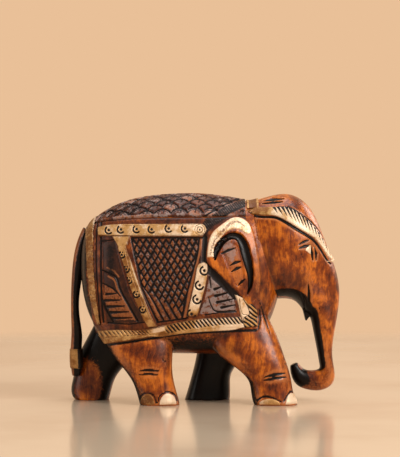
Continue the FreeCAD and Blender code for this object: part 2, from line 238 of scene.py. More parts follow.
def curve(points, count, closed=False):
    """An even line through points: between b and c, with neighbours a and d, the cubic
    0.5 (2b + (c - a) f + (2a - 5b + 4c - d) f^2 + (3b - a - 3c + d) f^3)."""
    p = np.array(points, float)
    ends = (p[-1:], p, p[:2]) if closed else (2 * p[:1] - p[1:2], p, 2 * p[-1:] - p[-2:-1])
    chain, spans = np.vstack(ends), len(p) - (not closed)
    t = np.linspace(0, spans, 24 * spans + 1)
    k = np.minimum(t.astype(int), spans - 1)
    f = (t - k)[:, None]
    a, b, c, d = (chain[k + step] for step in range(4))
    line = 0.5 * (2 * b + (c - a) * f + (2 * a - 5 * b + 4 * c - d) * f**2 + (3 * b - a - 3 * c + d) * f**3)
    run = np.concatenate([[0], np.cumsum(np.hypot(*np.diff(line, axis=0).T))])
    even = np.linspace(0, run[-1], count)
    return np.column_stack([np.interp(even, run, line[:, axis]) for axis in (0, 1)])


def dip(distance, half):
    """The shape across a cut of half width h at a distance d from its middle, 1 - (d / h)^2."""
    return np.clip(1 - (distance / half) ** 2, 0, 1)


def strokes(x, z, cuts):
    """Gouge strokes as depths and as a mask. Each has its points in per cent, and its widths along it
    and its depth in millimetres."""
    deep, black = np.zeros(x.shape), np.zeros(x.shape)
    for points, widths, depth in cuts:
        line = at(points) if len(points) < 4 else curve(at(points), 6 * len(points))
        share = np.linspace(0, 1, len(line))
        widths = np.interp(share, np.linspace(0, 1, len(widths)), widths)
        for a, b, wide_a, wide_b in zip(line[:-1], line[1:], widths[:-1], widths[1:]):
            run = b - a
            t = np.clip(((x - a[0]) * run[0] + (z - a[1]) * run[1]) / (run @ run), 0, 1)
            off = np.hypot(x - a[0] - t * run[0], z - a[1] - t * run[1])
            full = dip(off, (wide_a + (wide_b - wide_a) * t) / 2 + 1e-3)
            deep, black = most(deep, depth * full), most(black, full)
    return deep, black


def marks(widths, depth, *lines):
    """Gouge strokes that share their widths and their depth."""
    return tuple((line, widths, depth) for line in lines)


def smear(x, z, line, *widths):
    """A soft line as a mask: 1 along its middle and 0 at half its width."""
    return strokes(x, z, marks(widths, 1, line))[1]


EAR = ((3.4, 82.4), (6.1, 85.2), (9.2, 88), (11.4, 88.8), (13.6, 88.5), (15.9, 86.8), (17.2, 84), (18.2, 80),
       (19.4, 73), (20.2, 66), (20.5, 59), (20.2, 54), (19.2, 50.5), (17.8, 48.4), (16.4, 47.2), (14.9, 48.9),
       (12.1, 53.2), (7.6, 59.1), (4.3, 63), (1.7, 66.3), (0.8, 69), (1, 73.9), (1.7, 78.6))
EAR_MIDDLE = (11.6, 66)
# How far the skin and the cloth lie lower under an ear, and the head where it passes into the neck
SKIN_SUNK, CLOTH_SUNK, VERGE_SUNK = 3.2, 2.3, 0.8


def under_ear(x, z):
    """1 well under an ear and 0 from near its outline on. How far inside the outline a place lies is
    measured on the line to the ear's middle M, as |O - M| - |P - M|, with O on the outline."""
    outline, middle = curve(at(EAR), 240, closed=True), at(EAR_MIDDLE)
    off = outline - middle
    turn = np.arctan2(off[:, 1], off[:, 0])
    order = np.argsort(turn)
    here = np.arctan2(z - middle[1], x - middle[0])
    reach = np.interp(here, turn[order], np.hypot(*off.T)[order], period=2 * np.pi)
    return fade(reach - np.hypot(x - middle[0], z - middle[1]), 0.8, 2.4)


def inside(x, z, outline):
    """Whether places lie inside an outline: an odd number of its sides cross the line to the right."""
    corners = at(outline)
    found = np.zeros(x.shape, bool)
    for (ax, az), (bx, bz) in zip(corners, np.roll(corners, -1, axis=0)):
        crossing = (az > z) != (bz > z)
        found ^= crossing & (x < (bx - ax) * (z - az) / (bz - az + 1e-9) + ax)
    return found


def run_together(name, voxel, rounds, *nodes):
    """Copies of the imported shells, welded, made one skin of even cells and softened."""
    shells = bmesh.new()
    for node in nodes:
        shells.from_mesh(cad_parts[node].data)
    bmesh.ops.remove_doubles(shells, verts=shells.verts, dist=1e-6)
    mesh = bpy.data.meshes.new(name)
    shells.to_mesh(mesh)
    shells.free()
    made = add(name, mesh)
    cells = made.modifiers.new("cells", "REMESH")
    cells.mode, cells.voxel_size = "VOXEL", voxel / 1000
    soften = made.modifiers.new("soften", "SMOOTH")
    soften.factor, soften.iterations = 0.5, rounds
    ready = bpy.data.meshes.new_from_object(made.evaluated_get(bpy.context.evaluated_depsgraph_get()))
    made.modifiers.clear()
    made.data = ready
    return made


def skin_of(piece):
    """A piece's points and normals in millimetres, and its edges."""
    mesh, found = piece.data, []
    for name in ("co", "normal"):
        values = np.empty(len(mesh.vertices) * 3, np.float32)
        mesh.vertices.foreach_get(name, values)
        found.append(values.reshape(-1, 3).astype(float))
    edges = np.empty(len(mesh.edges) * 2, np.int32)
    mesh.edges.foreach_get("vertices", edges)
    return found[0] * 1000, found[1], edges.reshape(-1, 2)


def even_out(values, edges, rounds):
    """Each point takes the mean of itself and its neighbours, as often as asked."""
    a, b = edges.T
    count = len(values)
    share = 1 / (1 + np.bincount(a, minlength=count) + np.bincount(b, minlength=count))
    for _ in range(rounds):
        total = np.bincount(a, values[b], count) + np.bincount(b, values[a], count) + values
        values = total * share
    return values


HOLLOW_SHADE_DEPTH, SHADE_AND_WEAR_ROUNDS = 0.10, 14


def shade_and_wear(points, normals, edges, ridge=0.16):
    """Where hollows are painted darker as shade and where ridges are rubbed, from how far each point
    lies below the evened skin around it."""
    evened = np.column_stack([even_out(points[:, axis], edges, SHADE_AND_WEAR_ROUNDS) for axis in range(3)])
    below = ((evened - points) * normals).sum(axis=1)
    return np.clip(below / HOLLOW_SHADE_DEPTH, 0, 1), np.clip(-below / ridge, 0, 1)


def dress(piece, material, slot, nodes, **masks):
    """Gives a piece its masks, its smooth skin, its finish and its body, and hides the CAD nodes it stands
    for.
    """
    for name, values in masks.items():
        layer = piece.data.attributes.new(name, "FLOAT", "POINT")
        spread = np.broadcast_to(np.ravel(values), len(layer.data))
        layer.data.foreach_set("value", np.ascontiguousarray(spread, np.float32))
    piece.data.shade_smooth()
    piece.data.materials.clear()
    piece.data.materials.append(material)
    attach(piece, "root")
    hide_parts(*nodes)


def move(piece, points):
    """Puts changed points, in millimetres, back into a piece."""
    piece.data.vertices.foreach_set("co", (points / 1000).astype(np.float32).ravel())
    piece.data.update()


def close_over(name, rings):
    """A closed mesh over rings of points, capped at both ends, with its faces turned outwards."""
    index = np.arange(rings.shape[0] * rings.shape[1]).reshape(rings.shape[:2])
    after = np.roll(index, -1, axis=1)
    quads = np.stack([index[:-1], index[1:], after[1:], after[:-1]], axis=-1).reshape(-1, 4)
    caps = [index[0].tolist(), index[-1][::-1].tolist()]
    made = build_mesh(name, rings.reshape(-1, 3), quads.tolist() + caps)
    shell = bmesh.new()
    shell.from_mesh(made.data)
    bmesh.ops.recalc_face_normals(shell, faces=shell.faces)
    shell.to_mesh(made.data)
    shell.free()
    return made


def socket_group(name, takes, gives):
    """An empty node group with float inputs and outputs, and its two end nodes."""
    group = bpy.data.node_groups.new(name, "ShaderNodeTree")
    ends = [(key, "INPUT", value) for key, value in takes.items()] + [(key, "OUTPUT", 0.0) for key in gives]
    for key, side, value in ends:
        made = group.interface.new_socket(name=key, in_out=side, socket_type="NodeSocketFloat")
        made.default_value = value
    return group, group.nodes.new("NodeGroupInput").outputs, group.nodes.new("NodeGroupOutput").inputs


def times(tree, value, factor):
    """A value or link times another."""
    return maths(tree, "MULTIPLY", value, factor)


# Grain: long streaks up the block, blotches where the stain took, and short open pores
grain, given, result = socket_group("wood_grain", {"Size": 1.0}, ("Streaks", "Blotches", "Pores"))
spot = put(grain, "TexCoord").outputs["Object"]
turned = put(grain, "Mapping", Vector=spot, Rotation=(0.05, 0.12, 0.0), Scale=(1.0, 1.0, 0.16)).outputs[0]
bent = put(grain, "TexNoise", Vector=spot, Scale=45.0, Detail=2.0).outputs["Color"]
bent = put(grain, "VectorMath", {"operation": "SCALE"}, _0=bent, Scale=0.010).outputs[0]
bent = put(grain, "VectorMath", {"operation": "ADD"}, _0=turned, _1=bent).outputs[0]


def noise(tree, place, scale, detail, roughness=0.5):
    """Cloudy noise, finer as the group's Size grows."""
    return put(tree, "TexNoise", Vector=place, Scale=times(tree, given["Size"], scale), Detail=detail,
               Roughness=roughness).outputs["Fac"]


wire(grain, noise(grain, bent, 620.0, 4.0, 0.6), result["Streaks"])
wire(grain, noise(grain, spot, 105.0, 5.0, 0.62), result["Blotches"])
wire(grain, ramp(grain, noise(grain, turned, 2600.0, 1.0), 0.62, 0.74), result["Pores"])

# Brushwork: a mask with a ragged, smudged edge, for black stain left in a cut, painted shade and gilding
# rubbed off
ragged, given, result = socket_group("ragged_edge", {"Mask": 0.0, "Rag": 0.35, "Size": 1.0}, ("Mask",))
mottle = noise(ragged, put(ragged, "TexCoord").outputs["Object"], 900.0, 3.0, 0.65)
swing = times(ragged, maths(ragged, "SUBTRACT", mottle, 0.5), times(ragged, given["Rag"], 3.0))
swing = times(ragged, swing, maths(ragged, "MINIMUM", 1.0, times(ragged, given["Mask"], 4.0)))
wire(ragged, ramp(ragged, maths(ragged, "ADD", given["Mask"], swing), 0.28, 0.62), result["Mask"])


def grouped(tree, group, **values):
    """Places a node group in a material with its own values."""
    made = tree.nodes.new("ShaderNodeGroup")
    made.node_tree = group
    for key, value in values.items():
        wire(tree, value, made.inputs[key])
    return made


def mask_of(tree, name):
    """A piece's own mask by name."""
    return put(tree, "Attribute", {"attribute_name": name}).outputs["Fac"]


def brushed(tree, name, rag, size):
    """A piece's own mask with a ragged edge."""
    return grouped(tree, ragged, Mask=mask_of(tree, name), Rag=rag, Size=size).outputs[0]


def stain(tree, value, first, second, dark, middle, bright):
    """Dark to middle over the first span of a value, and on to bright over the second."""
    lower = blend(tree, ramp(tree, value, *first), dark, middle)
    return blend(tree, ramp(tree, value, *second), lower, bright)


def coats(tree, colour, *layers):
    """A colour with thin layers brushed over it, each with its share, its strength and its own colour."""
    for share, strength, over in layers:
        colour = blend(tree, times(tree, share, strength), colour, over)
    return colour


def set_finish(tree, shader, colour, roughness, specular, height, bump, **more):
    """Wires up a surface: its roughness and its bump each have a link and two numbers."""
    link, least, span = roughness
    strength, distance = bump
    wire(tree, colour, shader.inputs["Base Color"])
    wire(tree, maths(tree, "ADD", least, times(tree, link, span)), shader.inputs["Roughness"])
    shader.inputs["Specular IOR Level"].default_value = specular
    uneven = put(tree, "Bump", Height=height, Strength=strength, Distance=distance)
    wire(tree, uneven.outputs[0], shader.inputs["Normal"])
    for key, value in more.items():
        wire(tree, value, shader.inputs[key.replace("_", " ")])


varnished, tree, shader = finish_of("varnished_wood")
figure = grouped(tree, grain, Size=1.0).outputs
mix = maths(tree, "ADD", times(tree, figure["Blotches"], 0.62), times(tree, figure["Streaks"], 0.38))
# The black layer carries both the stain in the cuts and painted shade; the shade layer is painted shade.
soot = brushed(tree, "soot", 0.22, 0.9)
wood = stain(tree, mix, (0.34, 0.52), (0.47, 0.62), paint(62, 19, 3), paint(134, 57, 6), paint(206, 110, 24))
wood = coats(tree, wood, (figure["Pores"], 0.55, paint(48, 16, 4)),
             (brushed(tree, "rub", 0.25, 1.3), 0.5, paint(196, 118, 62)),
             (brushed(tree, "ash", 0.40, 0.8), 0.75, paint(150, 120, 110)),
             (mask_of(tree, "shade"), 0.8, paint(36, 14, 5)), (soot, 1.0, paint(15, 6, 2)))
relief = maths(tree, "SUBTRACT", figure["Streaks"], times(tree, figure["Pores"], 0.8))
clear = maths(tree, "SUBTRACT", 1.0, times(tree, soot, 0.8))
set_finish(tree, shader, wood, (figure["Blotches"], 0.26, 0.22), 0.2, relief, (0.30, 0.00025),
           Coat_Weight=times(tree, clear, 0.4), Coat_Roughness=0.24)

JAW = ((21.5, 48), (24.2, 51.6), (29.4, 52.8), (33.7, 51.6), (37, 46.9), (38.1, 40.8))
TRUNK_INSIDE = ((38.4, 49.3), (39.5, 37.5), (41, 28.1), (42.1, 18.7))
HEAD_CUTS = (
    (((34.1, 75.4), (36, 76.7), (37.9, 77.6)), (0.4, 1.7, 0.6), 0.7),
    (((34.3, 73.7), (36.4, 74.6), (38.4, 75.1)), (0.5, 1.9, 0.7), 0.7),
    (((38.6, 75.2), (39.2, 71.5), (39.4, 67.9)), (0.6, 1.8, 0.5), 0.9),
    (((40.2, 74.1), (40.8, 71.2), (40.7, 67.9)), (0.6, 1.7, 0.5), 0.9),
    (((35.2, 71), (35.5, 69.6)), (0.4,), 0.3),
    (((21.7, 96.3), (25, 97), (29, 97.2)), (0.6, 2.1, 0.8), 0.8),
    (((21.3, 94.9), (25, 95.5), (28.3, 95.7)), (0.6, 1.8, 0.8), 0.8),
    (((15.4, 90.1), (17.4, 89.1), (21, 88.6), (25.8, 88.2), (29.4, 86), (34.1, 82.2), (39.3, 78),
      (42.1, 73.9), (44.5, 69), (46.3, 66.3)), (1.4, 2, 1.2), 0.6),
    (((30.6, 93.4), (35, 90.3), (39.7, 85.3), (43.2, 79.9), (45.6, 74.6)), (0.4, 0.9, 0.4), 0.3),
    (((35.4, 52.2), (36.6, 48), (37, 43)), (0.8, 1.6, 0.6), 0.7),
    (((37.9, 56.5), (38.2, 52), (38.4, 47.5)), (0.5, 1.8, 0.8), 0.9),
    (((39.5, 21.6), (38.6, 18), (37.2, 16.3)), (0.8, 1.4, 0.5), 0.6),
    (((42.1, 45.5), (42.5, 44)), (0.4,), 0.25),
)
BODY_CUTS = (
    (((-23.4, 16.5), (-20, 16.8), (-16.5, 16.3)), (0.5, 1.7, 0.6), 0.5),
    (((-23.4, 14.7), (-20, 15), (-17, 14.6)), (0.5, 1.5, 0.6), 0.5),
    (((21.4, 13.4), (25, 14.5), (29.2, 15.3)), (0.6, 2, 0.9), 0.6),
    (((21.4, 11.9), (25, 12.8), (29.4, 13.4)), (0.6, 1.8, 0.9), 0.6),
    *marks((0.7, 1.1), 0.3, ((-16.8, 1.6), (-15.9, 4.9), (-13.1, 6.5), (-10.5, 4.8), (-9.7, 2)),
           ((28.7, 2.2), (30.3, 5.2), (31.5, 6.6), (33, 5.4))),
    (((-23.5, 1.4), (-22.7, 4.7), (-20.4, 6.2), (-18.1, 4.7), (-17.4, 1.6)), (0.6, 0.9), 0.3),
    (((19, 2.2), (21.3, 4.3), (24.4, 4), (27.8, 2)), (1, 1.3, 0.6), 0.3),
    *marks((0.9, 0.3), 0.35, ((27.4, 29.4), (28.6, 29.9)), ((27.9, 27), (29.3, 27.6)),
           ((28.5, 24.2), (29.8, 24.8)), ((29, 21.6), (30.4, 22.2)), ((29.5, 19.3), (30.8, 19.9))),
    (((-15.2, 21.6), (-13.6, 20.4)), (0.4, 0.9, 0.3), 0.35),
    (((20.1, 45), (20.3, 40), (19.5, 35.6)), (0.6, 1.3, 0.8), 0.7),
    (((-34.4, 28.4), (-17.4, 31.8), (-5.3, 34), (18.6, 35.3)), (1.6,), 0.3),
    (((19.9, 49.3), (22, 41), (24, 33)), (0.5, 1, 0.3), 0.35),
)

head_nodes = "head", "trunk", "lower_lip"
head = run_together("head_and_trunk", 0.38, 6, *head_nodes)
points, normals, edges = skin_of(head)
x, y, z = points.T
out_x, out_y, out_z = normals.T
deep, black = strokes(x, z, HEAD_CUTS)
facing = fade(np.abs(out_y), 0.0, 0.35)
jaw = smear(x, z, JAW, 3.0, 5.5, 8.5)
hollow = smear(x, z, TRUNK_INSIDE, 9.5, 9.0)
tip = smear(x, z, ((35.2, 21.5), (34.6, 14.5), (36.4, 9.6)), 11.0, 9.0)
neck = smear(x, z, ((20.4, 66), (20.8, 56), (21.8, 49.5)), 5.0, 9.0)
cheek = smear(x, z, ((21.5, 70), (24, 60), (29, 56.5), (35, 57.5)), 12.0, 13.0)
verge = smear(x, z, ((20.4, 74), (21.2, 68.5), (23.4, 62), (26.1, 54)), 9.0) * facing
points -= normals * (deep * facing)[:, None]
dips, ridges = shade_and_wear(points, normals, edges)
covered = under_ear(x, z) * fade(np.abs(y), 8.0, 12.0)
y -= (SKIN_SUNK * covered + VERGE_SUNK * verge) * np.sign(y)
# Black in the cuts, inside the trunk and at its tip is the carving's own stain; the black under the jaw and
# under the ears is painted shadow.
soot = most(black * facing, jaw * fade(-out_z, -0.35, 0.35) * 1.2,
            hollow * fade(-out_x, -0.2, 0.4) * 1.4,
            tip * fade(-out_x + 0.6 * out_z, -0.45, 0.3) * 1.5, covered)
move(head, points)
# The shade mask is painted shade: in the hollows, under the jaw, in the crease at the neck and over the
# cheek.
dress(head, varnished, "wood", head_nodes, soot=np.clip(soot, 0, 1), rub=ridges * (1 - neck),
      shade=0.6 * dips + most(0.35 * jaw, 0.45 * neck, 0.46 * cheek))

body_nodes = "torso", "foreleg_left", "foreleg_right", "hindleg_left", "hindleg_right"
body = run_together("body_and_legs", 0.62, 4, *body_nodes)
uncut = add("uncut_body", body.data.copy())
points, normals, edges = skin_of(body)
x, y, z = points.T
out_x, out_y, out_z = normals.T
deep, black = strokes(x, z, BODY_CUTS)
facing = fade(np.abs(out_y), 0.1, 0.5) * fade(np.abs(y), 6.0, 10.0)
belly = fade(-out_z, 0.15, 0.75) * fade(z, up(22), up(27))
inner = fade(-out_y * np.sign(y), 0.1, 0.6) * near(np.abs(y), 17.0, 9.0)
behind = fade(-out_x, 0.35, 0.9) * near(x, 60.0, 30.0)
lit_heel = near(np.hypot((x - along(-43.5)) / 7.0, (z - up(8)) / 12.0), 1.5, 0.3)
crease = smear(x, z, ((19.6, 68), (20.6, 58), (21.4, 49), (21.8, 44)), 7.0, 9.0)
under_hem = smear(x, z, ((-16, 27), (12, 27)), 9.0)
points -= normals * (deep * facing)[:, None]
dips, ridges = shade_and_wear(points, normals, edges, ridge=0.26)
covered = under_ear(x, z) * fade(np.abs(y), 8.0, 12.0)
y -= SKIN_SUNK * covered * np.sign(y)
# Besides the black in the cuts, black is painted on as shade: under the belly, on the inner sides of the legs
# (the far hind heel is left lit), on faces turned to the rear and under the ears.
soot = most(black * facing, 0.6 * belly, 0.78 * inner * (1 - lit_heel), 0.62 * behind, covered)
# Painted shade in the hollows and where the surface turns away from the side, and painted shadow under the
# hem and in the crease at the neck.
shade = 0.6 * dips + 0.5 * near(np.abs(out_y), 0.55, 0.15)
move(body, points)
dress(body, varnished, "wood", body_nodes, soot=np.clip(soot, 0, 1), rub=ridges * facing * (1 - crease),
      shade=most(shade, 0.45 * under_hem, 0.45 * crease))

tail = run_together("tail_wood", 0.35, 6, "tail")
points, normals, edges = skin_of(tail)
dips, ridges = shade_and_wear(points, normals, edges)
# Painted shade: the tail is black on all but its rear face, and darker all over and in its hollows.
dress(tail, varnished, "wood", ("tail",), soot=0.95 * fade(normals[:, 0], -0.75, 0.0), rub=ridges,
      shade=0.4 * dips + 0.5)

# ---------------------------------------------------------------------------------------
# The cloth on each flank: low relief carved in the same wood and stained darker. A fine net
# follows the flank and stands a little proud of it. A diamond lattice fills the middle panel,
# with leaves and short cuts in the panels before and behind it, all blackened in the cuts.
NET = 0.5
CLOTH, TRIM, ROOT = 0.9, 0.8, 1.6


def neighbours(grid, **edge):
    """The sum of the four cells beside each cell."""
    pad = np.pad(grid, 1, **edge)
    return pad[:-2, 1:-1] + pad[2:, 1:-1] + pad[1:-1, :-2] + pad[1:-1, 2:]


def lie_of(target, way, hand):
    """Heights of a surface on a square net, found by casting the net straight on to it (Shrinkwrap).
    Where it misses, a point takes the mean of its neighbours, round by round. Handed back as a
    function: for places (a, b) it gives points and the unit normals of the height field."""
    across = [axis for axis in (0, 1, 2) if axis != way]
    first, second = (np.arange(LOW[axis] - 4, HIGH[axis] + 4, NET) for axis in across)
    a, b = np.meshgrid(first, second, indexing="ij")
    start = hand * 150.0
    order = np.full((*a.shape, 3), start)
    order[..., across[0]], order[..., across[1]] = a, b
    net = build_mesh("net", order.reshape(-1, 3), [])
    wrap = net.modifiers.new("wrap", "SHRINKWRAP")
    wrap.wrap_method, wrap.target = "PROJECT", target
    wrap.use_project_x, wrap.use_project_y, wrap.use_project_z = (way == axis for axis in (0, 1, 2))
    wrap.use_negative_direction, wrap.use_positive_direction = hand > 0, hand < 0
    ready = net.evaluated_get(bpy.context.evaluated_depsgraph_get()).data
    found = np.empty(len(ready.vertices) * 3, np.float32)
    ready.vertices.foreach_get("co", found)
    height = found.reshape(*a.shape, 3)[..., way].astype(float) * 1000
    bpy.data.objects.remove(net)
    known = np.abs(height - start) > 1e-3
    height[~known] = 0
    for _ in range(60):
        total, count = neighbours(height), neighbours(known.astype(float))
        fresh = ~known & (count > 0)
        height[fresh] = total[fresh] / count[fresh]
        known |= fresh
    for _ in range(6):
        height = 0.5 * height + 0.125 * neighbours(height, mode="edge")
    slope_a, slope_b = np.gradient(height, NET)

    def surface(p, q):
        u = np.clip((p - first[0]) / NET, 0, len(first) - 1.001)
        v = np.clip((q - second[0]) / NET, 0, len(second) - 1.001)
        i, j = u.astype(int), v.astype(int)
        s, t = u - i, v - j
        level, up_a, up_b = ((1 - t) * ((1 - s) * f[i, j] + s * f[i + 1, j])
                             + t * ((1 - s) * f[i, j + 1] + s * f[i + 1, j + 1])
                             for f in (height, slope_a, slope_b))
        spots, lean = np.empty((*level.shape, 3)), np.empty((*level.shape, 3))
        for axis, value, slope in ((across[0], p, -up_a), (across[1], q, -up_b), (way, level, 1.0)):
            spots[..., axis], lean[..., axis] = value, slope * hand
        return spots, lean / np.linalg.norm(lean, axis=-1, keepdims=True)

    return surface


def lay(name, surface, lower, upper, pitch, raised, cut, sunk=0.5, rounding=0.45, below=0.0):
    """A strip laid on a surface between two lines. Across it v goes from the lower line to the upper
    one, P(u, v) = (1 - v) A(u) + v B(u). Its height is h = (raised + sunk) sqrt(1 - (1 - e / r)^2) - sunk
    at a distance e from its border, less the depth of the cuts, all on what lies below. Two rows at a
    depth of ROOT inside the wood close it."""
    long = max(np.hypot(*np.diff(line, axis=0).T).sum() for line in (lower, upper))
    n = int(long / pitch) + 2
    a, b = curve(lower, n), curve(upper, n)
    wide = np.hypot(*(b - a).T)
    v = np.linspace(0, 1, int(wide.max() / pitch) + 2)
    place = a[:, None] * (1 - v[:, None]) + b[:, None] * v[:, None]
    middle = place[:, len(v) // 2]
    run = np.concatenate([[0], np.cumsum(np.hypot(*np.diff(middle, axis=0).T))])
    e = np.minimum(np.minimum(v, 1 - v) * wide[:, None], np.minimum(run, run[-1] - run)[:, None])
    base, lean = surface(place[..., 0], place[..., 1])
    deep, masks = cut(base, e)
    height = (raised + sunk) * np.sqrt(1 - (1 - np.clip(e / rounding, 0, 1)) ** 2) - sunk + below
    skin = base + lean * (height - deep * fade(e, 0.0, rounding))[..., None]
    back = base[:, [-1, 0]] - lean[:, [-1, 0]] * ROOT
    made = close_over(name, np.concatenate([skin, back], axis=1))
    more = ((0, 0), (0, 2))
    return made, {key: np.pad(np.broadcast_to(value, e.shape), more) for key, value in masks.items()}


uncut_head = add("uncut_head", head.data.copy())
FLANK, BROW = ({hand: lie_of(target, 1, hand) for hand in (RIGHT, LEFT)} for target in (uncut, uncut_head))
SPINE = lie_of(uncut, 2, 1)
FOREHEAD = lie_of(uncut_head, 0, 1)
for spare in (uncut, uncut_head):
    bpy.data.objects.remove(spare)

FOLD = ((-43.2, 84), (-38, 86), (-30.4, 87.2), (-19.6, 87.9), (-8.7, 88.1), (0.6, 88.2), (15.2, 88.6))
HEM_MIDDLE = ((-40, 32.5), (-35, 32), (-18, 34.8), (-6, 37), (12.5, 38.4), (17.4, 38.4))
MIDDLE_PANEL = ((-26.3, 78), (-2, 78), (-2.6, 70.2), (-5.8, 55), (-8, 41.3), (-17, 39.8), (-22.4, 55))
REAR_PANEL = ((-36.6, 76.6), (-32, 76.9), (-29.9, 66), (-26.9, 53), (-21.6, 39.6), (-34.7, 38.6), (-36, 48))
FRONT_PANEL = ((2.5, 66), (1.8, 60), (0.2, 50), (-1.6, 43.2), (5.7, 43.9), (11.6, 44.2), (10.6, 50))
CLOTH_CUTS = (
    (((-38.6, 87), (-38.9, 75), (-38.7, 63), (-38, 50), (-37.3, 38)), (0.8,), 0.4),
    (((-37.3, 86), (-37.2, 75.3), (-37.1, 63.6), (-36.8, 49.5), (-36.2, 39.2)), (1.3,), 0.6),
    (((-37.3, 76.9), (-32.4, 77.5)), (1, 0.8), 0.5),
    (((-36.9, 63.6), (-34, 61.9), (-31.6, 60), (-30, 54), (-27.2, 47.3), (-23.9, 39.9)),
     (0.8, 1.6, 1.3), 0.6),
    (((-36.9, 57.7), (-32.7, 55), (-30, 51.4)), (0.7, 1.2, 0.5), 0.4),
    (((-36.6, 50.4), (-35.5, 45.6), (-32.7, 39.3)), (0.8, 1.6, 1.2), 0.55),
    (((-35.1, 52.3), (-31.7, 52.6)), (1.6, 0.6), 0.5),
    *marks((1.8, 0.6), 0.5, ((-35.5, 49.4), (-30.3, 49.6)), ((-34.6, 46.5), (-28.6, 46.9)),
           ((-33.8, 43.8), (-27.2, 44.2))),
    (((-32.9, 41.1), (-26, 41.4)), (1.7, 0.6), 0.5),
    (((-34.7, 38.9), (-26.8, 38.5), (-21.4, 39.5)), (0.9, 0.7), 0.4),
    *marks((1,), 0.5, ((-26.3, 78.2), (-22.4, 55), (-17, 39.8)), ((-17, 39.4), (-8, 40.9), (-5.9, 41.4)),
           ((-26, 78.5), (0.2, 78.5))),
    (((-1.9, 78), (-2.6, 70.2), (-5.8, 55), (-8, 41.3)), (1.1,), 0.55),
    (((0.3, 78.5), (-0.1, 67.6)), (3.4, 2.8), 0.6),
    (((1.9, 60.3), (2.4, 55.4)), (1.1, 0.6), 0.5),
    (((1.4, 51.2), (2.6, 46.8), (4.5, 44.4), (11, 44.7)), (0.5, 1.1, 0.8), 0.5),
    *marks((1.9, 0.7), 0.5, ((3.7, 54.7), (6.4, 55.9)), ((6.2, 46.2), (11, 47.4))),
    *marks((2, 0.7), 0.5, ((4, 51.6), (9, 53.2)), ((4.6, 48.6), (10.4, 50.2))),
    (((0.2, 42.9), (5.7, 43.9), (11.4, 44.2)), (0.8, 0.6), 0.4),
    (((0.9, 65.8), (4, 60.8), (7.3, 56.4), (11.2, 51.6)), (5.4, 4.8), 0.5),
    (FOLD, (1.9,), 0.5),
)
RIBS = (((-34.4, 60.6), (-32.3, 58.8), (-30.9, 54), (-28.1, 47.5), (-24.9, 40.4)),
        ((-34.8, 64.6), (-32.4, 63.2), (-30.6, 60.4)))
LEAF = ((-36.2, 50.4), (-35.6, 57), (-32.8, 55.4), (-30.2, 51.2), (-27.4, 45.6), (-24.6, 40.6), (-32.4, 40.2))


def off_stripe(place, pitch):
    """The distance to the nearest of a row of lines, | frac(s / p) - 0.5 | p."""
    return np.abs(np.mod(place / pitch, 1) - 0.5) * pitch


def lattice(x, z):
    """Two families of V-shaped cuts, x sin a - z cos a and x sin b + z cos b, leaning a = 61 and b = 57
    degrees and drawn by hand, so a little bent and uneven. The first family stops short of the lower
    rear corner, where only the second goes on."""
    first, second = np.radians(61.0), np.radians(57.0)
    x, z = x + 0.35 * np.sin(0.33 * z + 0.9), z + 0.45 * np.sin(0.27 * x + 0.4)
    firm = 1 + 0.22 * np.sin(0.9 * x - 0.5 * z) * np.sin(0.6 * z)
    one = off_stripe(x * np.sin(first) - z * np.cos(first), 2.61)
    two = off_stripe(x * np.sin(second) + z * np.cos(second), 2.66)
    low = along(-16) - x + 1.6 * (up(50) - z)
    one = np.clip(1 - one / (0.60 * firm), 0, 1) * (1 - fade(low, -1.0, 1.0))
    return most(one, np.clip(1 - two / (0.62 * firm), 0, 1))


def comb(x, z):
    """Fine slanted combing along the strips by the ears."""
    return 0.5 + 0.5 * np.sin((x + 0.8 * z) * 5.2)


def comb_soot(x, z, strip):
    """The black left in a combed strip."""
    return (0.38 + 0.4 * comb(x, z)) * fade(strip, 0.0, 0.5)


def cut_cloth(base, e):
    """The cuts of the cloth and where each is black, rubbed pale, dusty grey or painted darker."""
    x, z = base[..., 0], base[..., 2]
    deep, black = strokes(x, z, CLOTH_CUTS)
    panel, front, rear, leaf = (inside(x, z, line) for line in (MIDDLE_PANEL, FRONT_PANEL, REAR_PANEL, LEAF))
    net = lattice(x, z) * panel
    ridge = most(smear(x, z, ((-0.9, 77), (-2.6, 67), (-4.6, 56), (-7, 41.8)), 1.6, 1.4),
                 smear(x, z, ((-24.8, 76), (-21.4, 56), (-16.4, 42.4)), 1.3))
    ribs = most(*(smear(x, z, line, 1.2, 0.9) for line in RIBS))
    smudge = smear(x, z, ((-33.6, 73.5), (-33.4, 62.5)), 7.5, 6.5)
    strip = smear(x, z, ((-0.3, 81.6), (1.8, 85.4), (6.6, 89.6)), 5.0, 7.0)
    deep = most(deep, CLOTH_SUNK * under_ear(x, z), 0.62 * net) + 0.22 * (panel | rear | front)
    rub = most(ridge, 0.42 * panel * (1 - net) ** 2, 0.25 * front, 0.95 * ribs, 0.52 * leaf) * (1 - black)
    soot = most(black, 1.6 * net, 0.55 * smudge, comb_soot(x, z, strip))
    return deep, {"soot": np.clip(soot, 0, 1), "rub": rub,
                  "ash": most(0.56 * front, 0.2 * panel, 0.42 * strip),
                  "shade": most(0.9 * rear - 0.5 * leaf, 0.45 * panel, strip) + 0.25}


